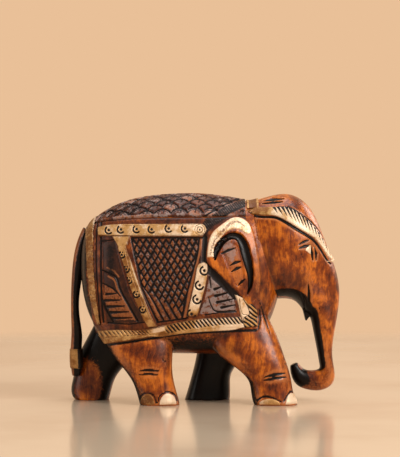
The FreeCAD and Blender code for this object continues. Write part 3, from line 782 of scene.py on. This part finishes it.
stained, tree, shader = finish_of("dark_stained_wood")
figure = grouped(tree, grain, Size=1.5).outputs
mix = maths(tree, "ADD", times(tree, figure["Blotches"], 0.6), times(tree, figure["Streaks"], 0.4))
dust, soot = brushed(tree, "ash", 0.75, 0.55), brushed(tree, "soot", 0.14, 1.0)
wood = stain(tree, mix, (0.38, 0.52), (0.50, 0.63), paint(50, 18, 5), paint(102, 44, 12), paint(158, 80, 24))
wood = coats(tree, wood, (mask_of(tree, "shade"), 0.7, paint(34, 14, 7)), (dust, 0.8, paint(150, 130, 124)),
             (brushed(tree, "rub", 0.35, 1.2), 0.6, paint(176, 104, 56)), (soot, 1.0, paint(20, 7, 2)))
clear = maths(tree, "SUBTRACT", 1.0, maths(tree, "MAXIMUM", soot, times(tree, dust, 0.6)))
set_finish(tree, shader, wood, (figure["Blotches"], 0.34, 0.25), 0.2, figure["Streaks"], (0.35, 0.0003),
           Coat_Weight=times(tree, clear, 0.25), Coat_Roughness=0.3)

SIDES = ((RIGHT, "_right"), (LEFT, "_left"))
for hand, ending in SIDES:
    cloth, masks = lay("flank_cloth" + ending, FLANK[hand], at(HEM_MIDDLE), at(FOLD), 0.30, CLOTH, cut_cloth)
    dress(cloth, stained, "stained_wood", ("side_cloth" + ending,), **masks)

# ---------------------------------------------------------------------------------------
# The cloth over the back: the same stained wood, cut all over in rows of overlapping scales
# that hang down both flanks from the spine, brushed with a dry grey-black stain.
SCALE_WIDE, SCALE_ROW, SCALE_RADIUS = 7.8, 3.5, 4.524


def scales(place, down):
    """Rows of round scales, every other row shifted by half a scale. A place belongs to the lowest row
    whose circle of radius R about (i w, k p) holds it, so each scale shows its upper arc. Every scale
    has a cut round it, a finer one inside and a short cut down its middle, and a chance of its own."""
    rim, fine, chance = np.zeros(place.shape), np.zeros(place.shape), np.zeros(place.shape)
    free = np.ones(place.shape, bool)
    row = np.floor(down / SCALE_ROW)
    for step in (2, 1, 0, -1):
        k = row + step
        shifted = place / SCALE_WIDE + np.mod(k, 2) / 2
        i = np.floor(shifted)
        own = np.mod(np.sin(i * 12.9898 + k * 78.233) * 43758.5453, 1)
        off = (shifted - i - 0.5) * SCALE_WIDE + (own - 0.5) * 1.7
        high = down - k * SCALE_ROW + (own - 0.5) * 1.1
        far = np.hypot(off, high * 1.12)
        held = free & (far < SCALE_RADIUS)
        rim = np.where(held, fade(far, SCALE_RADIUS - 1.45, SCALE_RADIUS - 0.45), rim)
        inner = near(np.abs(far - SCALE_RADIUS * 0.64), 0.42, 0.08) * (own > 0.3)
        short = (high > -SCALE_RADIUS * 0.62) & (high < -SCALE_RADIUS * 0.2)
        tick = near(np.abs(off + 0.35 * high), 0.45, 0.1) * short
        fine = np.where(held, most(inner, tick), fine)
        chance = np.where(held, own, chance)
        free &= ~held
    return rim, fine, chance


def cut_back(base, e):
    """The scales of the back, measured round it from the spine, and the plain strip along the ears."""
    x, z = base[..., 0], base[..., 2]
    steps = np.linalg.norm(np.diff(base, axis=1), axis=-1)
    round_it = np.concatenate([np.zeros((len(base), 1)), np.cumsum(steps, axis=1)], axis=1)
    down = np.abs(round_it - round_it[:, [round_it.shape[1] // 2]])
    rim, fine, chance = scales(x, down)
    strip = smear(x, z, ((0, 83.6), (8.2, 91), (15.6, 95)), 5.4, 4.6)
    edges = most(smear(x, z, ((-2.2, 86.6), (6.4, 93), (12.6, 96.6)), 1.1, 1.0),
                 smear(x, z, ((2, 84.8), (10, 90.6), (15.4, 93.4)), 0.8))
    scaled = 1 - most(near(e, 1.3, 0.7), fade(strip, 0.05, 0.3))
    rim, fine = rim * scaled, fine * scaled
    deep = 0.6 * rim + 0.3 * fine + 0.12 * comb(x, z) * strip
    rub = 0.45 * (chance > 0.72) * (1 - rim) * (1 - fine)
    ash = most(0.20 + 0.30 * (1 - rim) * fade(chance, 0.3, 0.8), 0.42 * strip)
    return deep, {"soot": most(0.9 * rim, 0.75 * fine, edges, comb_soot(x, z, strip)), "rub": rub, "ash": ash,
                  "shade": most(0.7 - 0.5 * (chance > 0.6) * scaled, strip)}


fold = curve(at(FOLD), 80).T
lines = [FLANK[hand](*fold)[0][:, :2] for hand in (RIGHT, LEFT)]
back, masks = lay("back_cloth", SPINE, *lines, 0.34, CLOTH, cut_back, rounding=0.3)
dress(back, stained, "stained_wood", ("back_cover",), **masks)

# ---------------------------------------------------------------------------------------
# The gilded trim: flat straps and bands left standing on the cloth, brushed with gold paint
# that is thick and pale on the faces and thin towards the edges, punched and hatched with
# small tools and washed with black. Towards the front and the top the gold is painted paler
# still, a painted highlight. The borders that run over the back are one piece each.
TOP_LOWER = ((-38.2, 79.2), (-30, 79), (-12, 79), (-2.6, 78.9), (-0.4, 79.6), (0.9, 82))
TOP_UPPER = ((-38.4, 82.8), (-36.2, 83.8), (-30, 84.6), (-12, 84.8), (-2.4, 84.9), (-0.2, 84.4), (0.95, 82.1))
STUDS = ((-34.2, 81.6), (-29.9, 82), (-24.3, 82.2), (-18.9, 82.1), (-12.8, 82.5), (-7, 82.5))
REAR_PUNCHES = ((-29.5, 70.4), (-27.9, 63.8), (-26.9, 58.7), (-24.3, 52.3), (-22.1, 45.4))
FRONT_PUNCHES = ((0, 63.2), (-1.7, 56.5), (-2.6, 50.1), (-4.6, 43.4))
FRONT_DOTS = ((1, 53.8), (0.4, 50.9), (-0.4, 46.9), (-1, 45.5))
BAND_END = ((-1.7, 81.9),)
HEM_HATCH = ((-37, 33.6), (-25, 34.6), (-18, 35.4), (-6, 38.4), (6, 40.3), (13, 40.6))
CORNER_LINE = ((13.6, 50.2), (15.2, 46.6), (15.8, 43.2), (13.9, 41.6), (13.6, 38.2))


def punches(x, z, places, dot, ring, gap=0.0, half=0.35):
    """Punched dots, and round each a ring, open on the side where the cosine is below the gap."""
    black = np.zeros(x.shape)
    for px, pz in at(places):
        far, turn = np.hypot(x - px, z - pz), np.arctan2(z - pz, x - px)
        black = most(black, dip(far, dot), dip(far - ring, half) * (np.cos(turn - 3.9) > gap))
    return black


def band_cuts(base, e):
    """The band along the top: a pricked dot in a crescent at each stud, and a double ring at the end."""
    x, z = base[..., 0], base[..., 2]
    black = punches(x, z, STUDS, 0.85, 1.6, -0.2, 0.55)
    ends = punches(x, z, BAND_END, 0.6, 1.3, -2, 0.22)
    outer = punches(x, z, BAND_END, 0.0001, 2.35, -2, 0.25)
    lines = most(smear(x, z, ((-37, 83.2), (-12, 84.2), (-3, 84.3)), 0.35),
                 smear(x, z, ((-26, 79.8), (-8, 79.8)), 0.3))
    deep = most(0.55 * black, 0.35 * ends, 0.3 * outer) + 0.15 * lines
    # The gold is painted paler towards the front: a painted highlight.
    return deep, {"soot": most(black, 0.85 * ends, 0.55 * outer, 0.55 * lines),
                  "bright": 0.55 + 0.35 * fade(x, along(-20), along(0)), "worn": 0.8 * near(e, 0.8, 0.1)}


def rear_strap_cuts(base, e):
    """The strap behind the lattice: rosettes of small dots, a pale line along its front edge and paler gold
    at its top, both painted highlights.
    """
    x, z = base[..., 0], base[..., 2]
    black = punches(x, z, REAR_PUNCHES, 0.75, 1.4, -0.5, 0.55)
    spokes = np.zeros(x.shape)
    for px, pz in at(REAR_PUNCHES):
        turn, far = np.arctan2(z - pz, x - px), np.hypot(x - px, z - pz)
        spokes = most(spokes, (np.cos(5 * turn) > 0.3) * dip(far - 1.3, 0.5))
    black = np.minimum(black, 1) + 0.7 * spokes
    front = smear(x, z, ((-27.6, 76), (-25.9, 65.5), (-22.9, 54.5), (-18.5, 41)), 0.7)
    groove = smear(x, z, ((-28.3, 73), (-26.8, 65), (-23.8, 54), (-19.4, 41)), 0.5)
    return 0.5 * black + 0.2 * groove, {"soot": np.clip(black + 0.5 * groove, 0, 1),
                                        "bright": 0.28 + 0.7 * front + 0.4 * fade(z, up(72), up(76)),
                                        "worn": 0.85 * near(e, 0.9, 0.1)}


def front_strap_cuts(base, e):
    """The leaf before the lattice: ringed punches down the middle, and a row of dots by its front edge."""
    x, z = base[..., 0], base[..., 2]
    black = most(punches(x, z, FRONT_PUNCHES, 0.95, 1.9, -0.55, 0.6),
                 punches(x, z, FRONT_DOTS, 0.75, 0.0001, -2, 0.01))
    # The gold is painted paler towards the top: a painted highlight.
    return 0.5 * black, {"soot": black, "bright": 0.95 * fade(z, up(41), up(50)),
                         "worn": 0.85 * near(e, 0.8, 0.1)}


def hem_cuts(base, e):
    """The hem: a slanted hatch along its upper half, fine and worn behind, bold and black in front."""
    x, z = base[..., 0], base[..., 2]
    share = (x - along(-38)) / (along(16) - along(-38))
    level = z - np.interp(x, *at(HEM_HATCH).T)
    hatch = np.clip(1.35 - (off_stripe(x + 0.75 * level, 1.72) / 0.54) ** 2, 0, 1)
    hatch = hatch * np.clip(1 - np.abs(level) / 2.0, 0, 1) ** 0.3
    bold = fade(share, 0.42, 0.5)
    pale = near(np.abs(share - 0.40), 0.07, 0.02)
    black = hatch * (0.55 * (1 - bold) * (1 - pale) + bold)
    edge = smear(x, z, ((-37.5, 31.6), (-18, 33.8), (-6, 36), (13, 37.3)), 0.4)
    # The gold is painted paler towards the front: a painted highlight.
    bright = 0.25 + 0.7 * fade(share, 0.40, 0.9) + 0.6 * pale * (level > -0.5)
    return 0.5 * black + 0.15 * edge, {"soot": np.clip(black + 0.35 * edge, 0, 1), "bright": bright,
                                       "worn": 0.8 * near(e, 0.8, 0.1)}


def corner_cuts(base, e):
    """The pointed front corner: a pale leaf with a line round it, and bold slanted cuts before it."""
    x, z = base[..., 0], base[..., 2]
    stripes = np.clip(1.3 - (off_stripe((x + 1.15 * z) / np.hypot(1, 1.15), 1.65) / 0.46) ** 2, 0, 1)
    divide = fade(x - np.interp(z, *at(CORNER_LINE)[::-1, ::-1].T), -0.1, 0.4)
    line = most(smear(x, z, ((12.3, 50.3), (12.6, 46.5), (13.4, 43.4), (15, 43)), 0.5),
                smear(x, z, CORNER_LINE, 0.7))
    black = most(stripes * divide, 0.6 * line)
    return 0.5 * black, {"soot": black, "bright": 0.45 + 0.5 * (1 - divide), "worn": 0.3 * near(e, 0.8, 0.1)}


REAR_LOWER = ((-33.2, 79.2), (-31.2, 74.8), (-30.8, 72.4), (-28.6, 64.2), (-26.4, 54.6), (-22.6, 42.8),
              (-20.2, 37.2))
REAR_UPPER = ((-26.4, 79.2), (-27.4, 75.6), (-27.7, 73), (-25.1, 64.4), (-22.8, 55.6), (-19.2, 43.2),
              (-16.8, 37.6))
FRONT_LOWER = ((-1.8, 66.6), (-2.8, 64.6), (-3.6, 58.4), (-5.2, 49), (-6.6, 42))
FRONT_UPPER = ((-0.2, 67.4), (1.2, 65.6), (1, 59.2), (-0.8, 49.8), (-2.4, 42.2))
HEM_LOWER = ((-37.8, 31.6), (-34.6, 29.1), (-17.6, 32.3), (-5.6, 34.6), (14.8, 36.2))
HEM_UPPER = ((-38.6, 35.6), (-36, 35.4), (-25.4, 35.9), (-19.4, 36.8), (-10.6, 39.3), (-2.6, 41.1),
             (12.8, 42.2))
# Each strap between its two lines, with its cuts and its pitch
STRAPS = {
    "top_band": (TOP_LOWER, TOP_UPPER, band_cuts, 0.22),
    "rear_strap": (REAR_LOWER, REAR_UPPER, rear_strap_cuts, 0.22),
    "front_strap": (FRONT_LOWER, FRONT_UPPER, front_strap_cuts, 0.2),
    "hem_band": (HEM_LOWER, HEM_UPPER, hem_cuts, 0.22),
    "hem_corner": (((10.8, 52.2), (12, 47.4), (12.8, 42.4), (14.6, 36.4)),
                   ((11.4, 52), (15, 49.7), (18.6, 45.4), (19.2, 37)), corner_cuts, 0.2),
}

gold, tree, shader = finish_of("worn_gilding")
figure = grouped(tree, grain, Size=2.0).outputs
mottle = times(tree, maths(tree, "SUBTRACT", figure["Blotches"], 0.5), 2.2)
# The gold is lifted towards cream by its own mask: paler, thicker paint, and a painted highlight towards the
# front and the top of the trim.
mottle = maths(tree, "ADD", mask_of(tree, "bright"), mottle)
thin, soot = brushed(tree, "worn", 0.42, 1.4), brushed(tree, "soot", 0.12, 1.2)
face = stain(tree, mottle, (0, 0.5), (0.5, 1), paint(138, 86, 36), paint(198, 149, 90), paint(241, 211, 178))
face = coats(tree, face, (thin, 0.8, paint(104, 56, 24)), (soot, 1.0, paint(24, 10, 3)))
bare = maths(tree, "SUBTRACT", 1.0, maths(tree, "MAXIMUM", soot, thin))
thick = maths(tree, "ADD", figure["Streaks"], times(tree, figure["Blotches"], 1.5))
set_finish(tree, shader, face, (figure["Streaks"], 0.30, 0.25), 0.3, thick, (0.35, 0.0004),
           Metallic=times(tree, bare, 0.25))

for hand, ending in SIDES:
    for node, (lower, upper, cut, pitch) in STRAPS.items():
        strap, masks = lay("gilded_" + node + ending, FLANK[hand], at(lower), at(upper), pitch, TRIM, cut,
                           sunk=0.4, rounding=0.5, below=CLOTH)
        stands_for = (node + ending, "studs" + ending) if node == "top_band" else (node + ending,)
        dress(strap, gold, "gilding", stands_for, **masks)


# ---------------------------------------------------------------------------------------
# The ears: large leaves left standing out of the sides, domed, with a deep trough hollowed
# round inside the edge and a lobe in the middle. They are varnished like the head, black in
# the trough, with a thick gilded rim over the top.
TROUGH = ((3.9, 68.6), (4.5, 72.6), (6.1, 76.2), (8.2, 78.8), (10.4, 79.8), (12.6, 78.9), (14.2, 75.6),
          (15.1, 71.4), (16.1, 66.4), (16.8, 61.3), (16.7, 56.7), (15.7, 52.4))
TROUGH_DEEP, EAR_EDGE = 1.9, 1.1
TROUGH_WIDE = (1.0, 3.0, 3.4, 3.4, 3.8, 4.6, 5.2, 5.0, 4.2, 3.2, 2.6, 0.6)
EAR_STROKES = (
    (((3, 71.6), (5.4, 74)), (0.4, 1.3), 0.5),
    *marks((0.4, 1.4), 0.5, ((3.4, 73.9), (6, 76)), ((4.2, 76.2), (6.9, 77.6)), ((5.6, 78.4), (8.2, 79))),
    (((3, 69), (4.6, 71)), (0.3, 1.1), 0.4),
    (((6.4, 71.4), (8.8, 73), (11.3, 74)), (1.2, 1.9, 0.6), 0.5),
    *marks((0.6, 2.1, 0.8), 0.6, ((9.4, 65.8), (11.4, 67.3), (13.1, 67.7)),
           ((9.8, 62.8), (11.8, 64.4), (13.3, 65))),
    (((12.3, 56.5), (13.6, 58.2), (14.7, 59.3)), (0.6, 1.9, 0.7), 0.6),
)


def ear_dome(hand):
    """The dome that both ears lie on: an ellipsoid with half widths of 38.5 and 48 per cent of the
    figure's length and height, and half the ears' spread, y = h sqrt(1 - (x / a)^2 - (z / c)^2)."""
    middle, half = at((-1.7, 57.9)), (0.385 * LONG, HIGH[1] - 0.5, 0.4788 * TALL)

    def surface(x, z):
        p, q = (x - middle[0]) / half[0], (z - middle[1]) / half[2]
        level = np.sqrt(np.clip(1 - p**2 - q**2, 0.02, 1))
        spots = np.stack([x, hand * half[1] * level, z], axis=-1)
        lean = np.stack([p / half[0], hand * level / half[1], q / half[2]], axis=-1)
        return spots, lean / np.linalg.norm(lean, axis=-1, keepdims=True)

    return surface


def leaf(hand, ending):
    """An ear as rings from its middle to its outline, P = M + r (O - M), less the depth of the trough.
    It rounds over at the edge, and the wall there runs in under it to the flank."""
    outline, middle = curve(at(EAR), 420, closed=True)[:-1], at(EAR_MIDDLE)
    r = np.linspace(0.01, 1, 92)
    place = middle + r[:, None, None] * (outline - middle)
    x, z = place[..., 0], place[..., 1]
    base, lean = ear_dome(hand)(x, z)
    e = (1 - r[:, None]) * np.hypot(*(outline - middle).T)
    trough = smear(x, z, TROUGH, *TROUGH_WIDE)
    cuts, black = strokes(x, z, EAR_STROKES)
    lobe = fade(smear(x, z, ((9.6, 72.5), (11, 66.5), (12.6, 58.5)), 9.5, 8.5, 6.0), 0.0, 0.8)
    deep = TROUGH_DEEP * np.sqrt(trough) * (1 - 0.2 * lobe) + cuts + 0.35 * fade(trough + lobe, 0.0, 0.5)
    over = 1 - np.sqrt(1 - (1 - np.clip(e / EAR_EDGE, 0, 1)) ** 2)
    skin = base - lean * (deep * fade(e, 0.2, 1.2) + over)[..., None]
    under = FLANK[hand](*outline.T)[0]
    inwards = (middle - outline) / np.hypot(*(outline - middle).T)[:, None]
    wall = []
    for share, tuck in ((0.3, 0.15), (0.65, 0.7), (1.25, 1)):
        ring = skin[-1] + (under - skin[-1]) * np.array([0, share, 0])
        ring[:, [0, 2]] += inwards * tuck
        wall.append(ring)
    made = close_over("carved_ear" + ending, np.concatenate([skin, wall]))
    grey = smear(x, z, ((8.4, 75.6), (9.6, 72), (10.2, 68)), 9.0, 8.0, 3.0)
    front = smear(x, z, ((17.6, 81), (18.8, 72), (19.5, 62), (19.3, 54)), 4.6, 4.0)
    low = near(z, up(66), up(58))
    masks = {"soot": (most(1.35 * trough ** 0.7 * (1 - 0.5 * lobe * (trough < 0.4)), black), 0.95),
             "ash": (0.62 * grey, 0), "rub": (0.5 * most(front, lobe), 0),
             "shade": (0.25 * low * (1 - lobe), 0.5)}
    walls = len(wall), len(outline)
    return made, {key: np.concatenate([face, np.full(walls, edge)]) for key, (face, edge) in masks.items()}


RIM_OUTER = ((1, 69.4), (1.2, 73.9), (1.9, 78.4), (3.6, 82.1), (6.3, 84.9), (9.3, 87.6), (11.4, 88.4),
             (13.4, 88.1), (15.5, 86.5), (16.7, 84.3), (17.2, 81.6))
RIM_INNER = ((3.5, 69.5), (3.5, 73.2), (4.3, 75.9), (5.7, 78), (7.7, 80.8), (9.8, 82.3), (11.6, 82.6),
             (13.2, 82), (14.5, 80.8), (15.6, 80.2), (16.8, 80.6))
WORN_LINE = ((2.2, 71), (3.3, 76.2), (4.8, 79.2), (6.7, 81.7), (8.7, 84.5), (10.4, 85.8), (12.4, 85.9),
             (14.4, 84.2))


def ear_rim_cuts(base, e):
    """Thick gold brushed over the ear's edge, uneven, rubbed through in spots, notched by the strokes."""
    x, z = base[..., 0], base[..., 2]
    spots = smear(x, z, WORN_LINE, 1.6, 2.6, 3.2, 2.4, 1.4)
    deep, black = strokes(x, z, EAR_STROKES[:5])
    pits = 0.5 + 0.5 * np.sin(3.1 * x + 1.3 * np.sin(2.3 * z)) * np.sin(2.7 * z + 1.7 * np.sin(1.9 * x))
    return 0.12 * pits + 0.4 * deep, {"soot": 0.8 * black, "bright": 0.9,
                                      "worn": np.clip(0.5 * spots, 0, 0.9) + 0.3 * near(e, 0.6, 0.0)}


for hand, ending in SIDES:
    ear, masks = leaf(hand, ending)
    dress(ear, varnished, "wood", ("ear" + ending,), **masks)
    rim, masks = lay("gilded_ear_rim" + ending, ear_dome(hand), at(RIM_OUTER), at(RIM_INNER), 0.24, 0.42,
                     ear_rim_cuts, sunk=0.5, rounding=0.9)
    dress(rim, gold, "gilding", ("ear_rim" + ending,), **masks)

# ---------------------------------------------------------------------------------------
# The head's trim: a gilded band from the neck over each temple, meeting on the forehead and
# nicked along its upper edge like a feather, a dull band round the neck, and gilded eyes.
BAND_LOWER = ((15.2, 90.6), (17.4, 89.7), (21, 89.2), (25.8, 88.8), (29.6, 86.6), (34.4, 82.7), (39.7, 78.5),
              (42.6, 74.3), (45, 69.9), (47.5, 66.9))
BAND_UPPER = ((14.6, 92.2), (18.4, 92.8), (24.7, 93.1), (29, 93.4), (31.7, 92.6), (35.7, 89), (39.7, 84.2),
              (42.8, 79), (45.4, 73), (47.6, 67.9))
NICKS, NICK_LONG = 15, 0.74


def headband_cuts(base, e):
    """Nicks at even steps along the upper edge, from the temple on: each leans back and ends half way."""
    x, z = base[..., 0], base[..., 2]
    top, foot = (np.interp(x, *at(line).T) for line in (BAND_UPPER, BAND_LOWER))
    share = (top - z) / np.maximum(top - foot, 0.5)
    start, stop = along(24.5), along(46)
    place = (x - 0.55 * (top - z) - start) / (stop - start) * NICKS
    wide = 0.44 * (1 - np.clip(share / NICK_LONG, 0, 1))
    nick = fade(wide - off_stripe(place, 1), -0.03, 0.05)
    nick = nick * (place > 0) * (place < NICKS) * (share < NICK_LONG)
    ring = punches(x, z, ((16.6, 91.2),), 0.5, 1.15, -0.3, 0.3)
    edge = 0.85 * (1 - fade(share, 0.04, 0.12)) * fade(place, -0.5, 0.5)
    # The gold is painted pale from the temple forwards: a painted reflection of the lamp.
    return 0.45 * nick + 0.35 * ring, {"soot": most(nick, edge, 0.8 * ring), "worn": 0.35 * near(e, 0.6, 0.0),
                                       "bright": 0.2 + 0.75 * fade(x, along(23.5), along(27))}


def uncut_gold(bright, worn):
    """Gilding with no tool marks, only brighter or more worn."""
    return lambda base, e: (0 * e, {"soot": 0, "bright": bright, "worn": worn + 0.35 * near(e, 0.6, 0.0)})


def gather(name, shells):
    """Several closed shells and their masks as one piece."""
    whole, masks = bmesh.new(), {}
    for shell, own in shells:
        whole.from_mesh(shell.data)
        for key, value in own.items():
            masks.setdefault(key, []).append(np.ravel(value))
        bpy.data.objects.remove(shell)
    mesh = bpy.data.meshes.new(name)
    whole.to_mesh(mesh)
    whole.free()
    return add(name, mesh), {key: np.concatenate(value) for key, value in masks.items()}


HEAD_TRIM = 0.7
shells = [lay("band", BROW[hand], at(BAND_LOWER), at(BAND_UPPER), 0.24, HEAD_TRIM, headband_cuts, sunk=0.4,
              rounding=0.45) for hand in (RIGHT, LEFT)]
meets = up(67.4)
edges = ([(-9.0, meets + 0.2 * rise), (0.0, meets + rise), (9.0, meets + 0.2 * rise)] for rise in (-0.9, 0.9))
shells.append(lay("brow", FOREHEAD, *edges, 0.3, 0.5, uncut_gold(0.9, 0), sunk=0.4, rounding=0.45))
headband, masks = gather("gilded_headband", shells)
dress(headband, gold, "gilding", ("headband",), **masks)

neck = run_together("gilded_neck_band", 0.3, 4, "neck_band")
points, normals, edges = skin_of(neck)
ends = np.minimum(points[:, 0] - points[:, 0].min(), points[:, 0].max() - points[:, 0])
line = near(ends, 1.3, 0.8)
dress(neck, gold, "gilding", ("neck_band",), soot=0.35 * near(np.abs(ends - 1.6), 0.4, 0.0),
      bright=0.35 * line, worn=0.62 * (1 - line) + 0.15)

for hand, ending in SIDES:
    eye = [lay("eye", BROW[hand], at(((36.4, 72.8), (37.6, 71.6), (38.55, 70.6))),
               at(((36.7, 73.3), (37.8, 74.8), (38.8, 75.7))), 0.2, 0.45, uncut_gold(0.9, 0), rounding=0.4),
           lay("eye", BROW[hand], at(((39.35, 74.4), (39.75, 70.8))), at(((39.9, 74.4), (40, 70.8))),
               0.2, 0.3, uncut_gold(0.6, 0.2), rounding=0.2)]
    eye, masks = gather("gilded_eye" + ending, eye)
    dress(eye, gold, "gilding", ("eye" + ending,), **masks)

# ---------------------------------------------------------------------------------------
# The gilded borders that go all the way round: the hammered one down the rump and over the
# back, and the worn patch of gold on the tail above its tuft.
border = run_together("gilded_rear_border", 0.32, 4, "rear_border")
points, normals, edges = skin_of(border)
x, y, z = points.T
dents = np.sin(2.6 * z + 1.9 * np.sin(1.7 * y + 0.9 * x)) * np.sin(2.9 * (x + y) + 1.4 * np.sin(1.3 * z))
points -= normals * (0.14 + 0.14 * dents)[:, None] * fade(np.abs(normals[:, 1]), -0.1, 0.2)[:, None]
inner_edge = np.interp(z, (up(35), up(65), up(92)), (along(-37.9), along(-40), along(-40.3)))
# A pale line along the upper inner edge: a painted highlight.
lip_highlight = near(np.abs(x - inner_edge), 1.0, 0.2) * fade(z, up(74), up(80))
move(border, points)
dress(border, gold, "gilding", ("rear_border",), soot=0.36 * fade(-dents, 0.2, 0.9), worn=0.30 + 0.25 * dents,
      bright=0.18 + 0.85 * lip_highlight + 0.3 * fade(dents, 0.3, 0.9))

tail_band = run_together("gilded_tail_band", 0.25, 14, "tail_band")
points, normals, edges = skin_of(tail_band)
# Its side towards the body is painted black as shade.
dress(tail_band, gold, "gilding", ("tail_band",), soot=0.95 * fade(normals[:, 0], 0.0, 0.5),
      bright=0.3, worn=0.1)

# ---------------------------------------------------------------------------------------
# The toenails: low gilded ovals brushed on the front and the outer side of each foot, some
# thick and bright and some worn to a dull outline, with a black line over them.
def nail_gold(bright, worn):
    """A nail: pale on its face, and on a worn one the gold is left only as a line round it."""
    return lambda base, e: (0 * e, {"soot": 0, "bright": bright, "worn": worn * fade(e, 0.5, 0.9)})


def oval(left, right, high, peak):
    """Half an oval standing on a line: x = m + w cos t, z = low + h (sin t) ^ peak."""
    t, low = np.linspace(np.pi, 0, 13), LOW[2] + 0.5
    x = (left + right) / 2 + (right - left) / 2 * np.cos(t)
    lower = np.column_stack([np.linspace(left, right, len(t)), np.full(len(t), low)])
    return lower, np.column_stack([x, low + high * np.abs(np.sin(t)) ** peak])


def foot_start(node):
    """Where a foot begins: the least x of its lowest 4 mm."""
    skin = np.array([corner.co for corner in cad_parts[node].data.vertices]) * 1000
    return skin[skin[:, 2] < LOW[2] + 4.0][:, 0].min()


# Each nail from where to where, how high, how pointed, how bright and how worn
NAILS = {"hindleg": ((-22.9, -17.9, 5.2, 0.8, 0.15, 0.55), (-16.2, -10.2, 5.4, 1.1, 1.0, 0.0)),
         "foreleg": ((19.8, 27.4, 2.9, 0.9, 0.6, 0.25), (29.2, 33.8, 5.4, 1.4, 1.0, 0.0))}
for hand, ending in SIDES:
    for leg, pair in NAILS.items():
        shift = foot_start(leg + ending) - foot_start(leg + "_right")
        shells = [lay("nail", FLANK[hand], *oval(along(left) + shift, along(right) + shift, high, peak),
                      0.3, 0.55, nail_gold(bright, worn), sunk=0.3, rounding=0.6)
                  for left, right, high, peak, bright, worn in pair]
        nails, masks = gather("gilded_toenails_" + leg + ending, shells)
        dress(nails, gold, "gilding", ("toenails_" + leg + ending,), **masks)
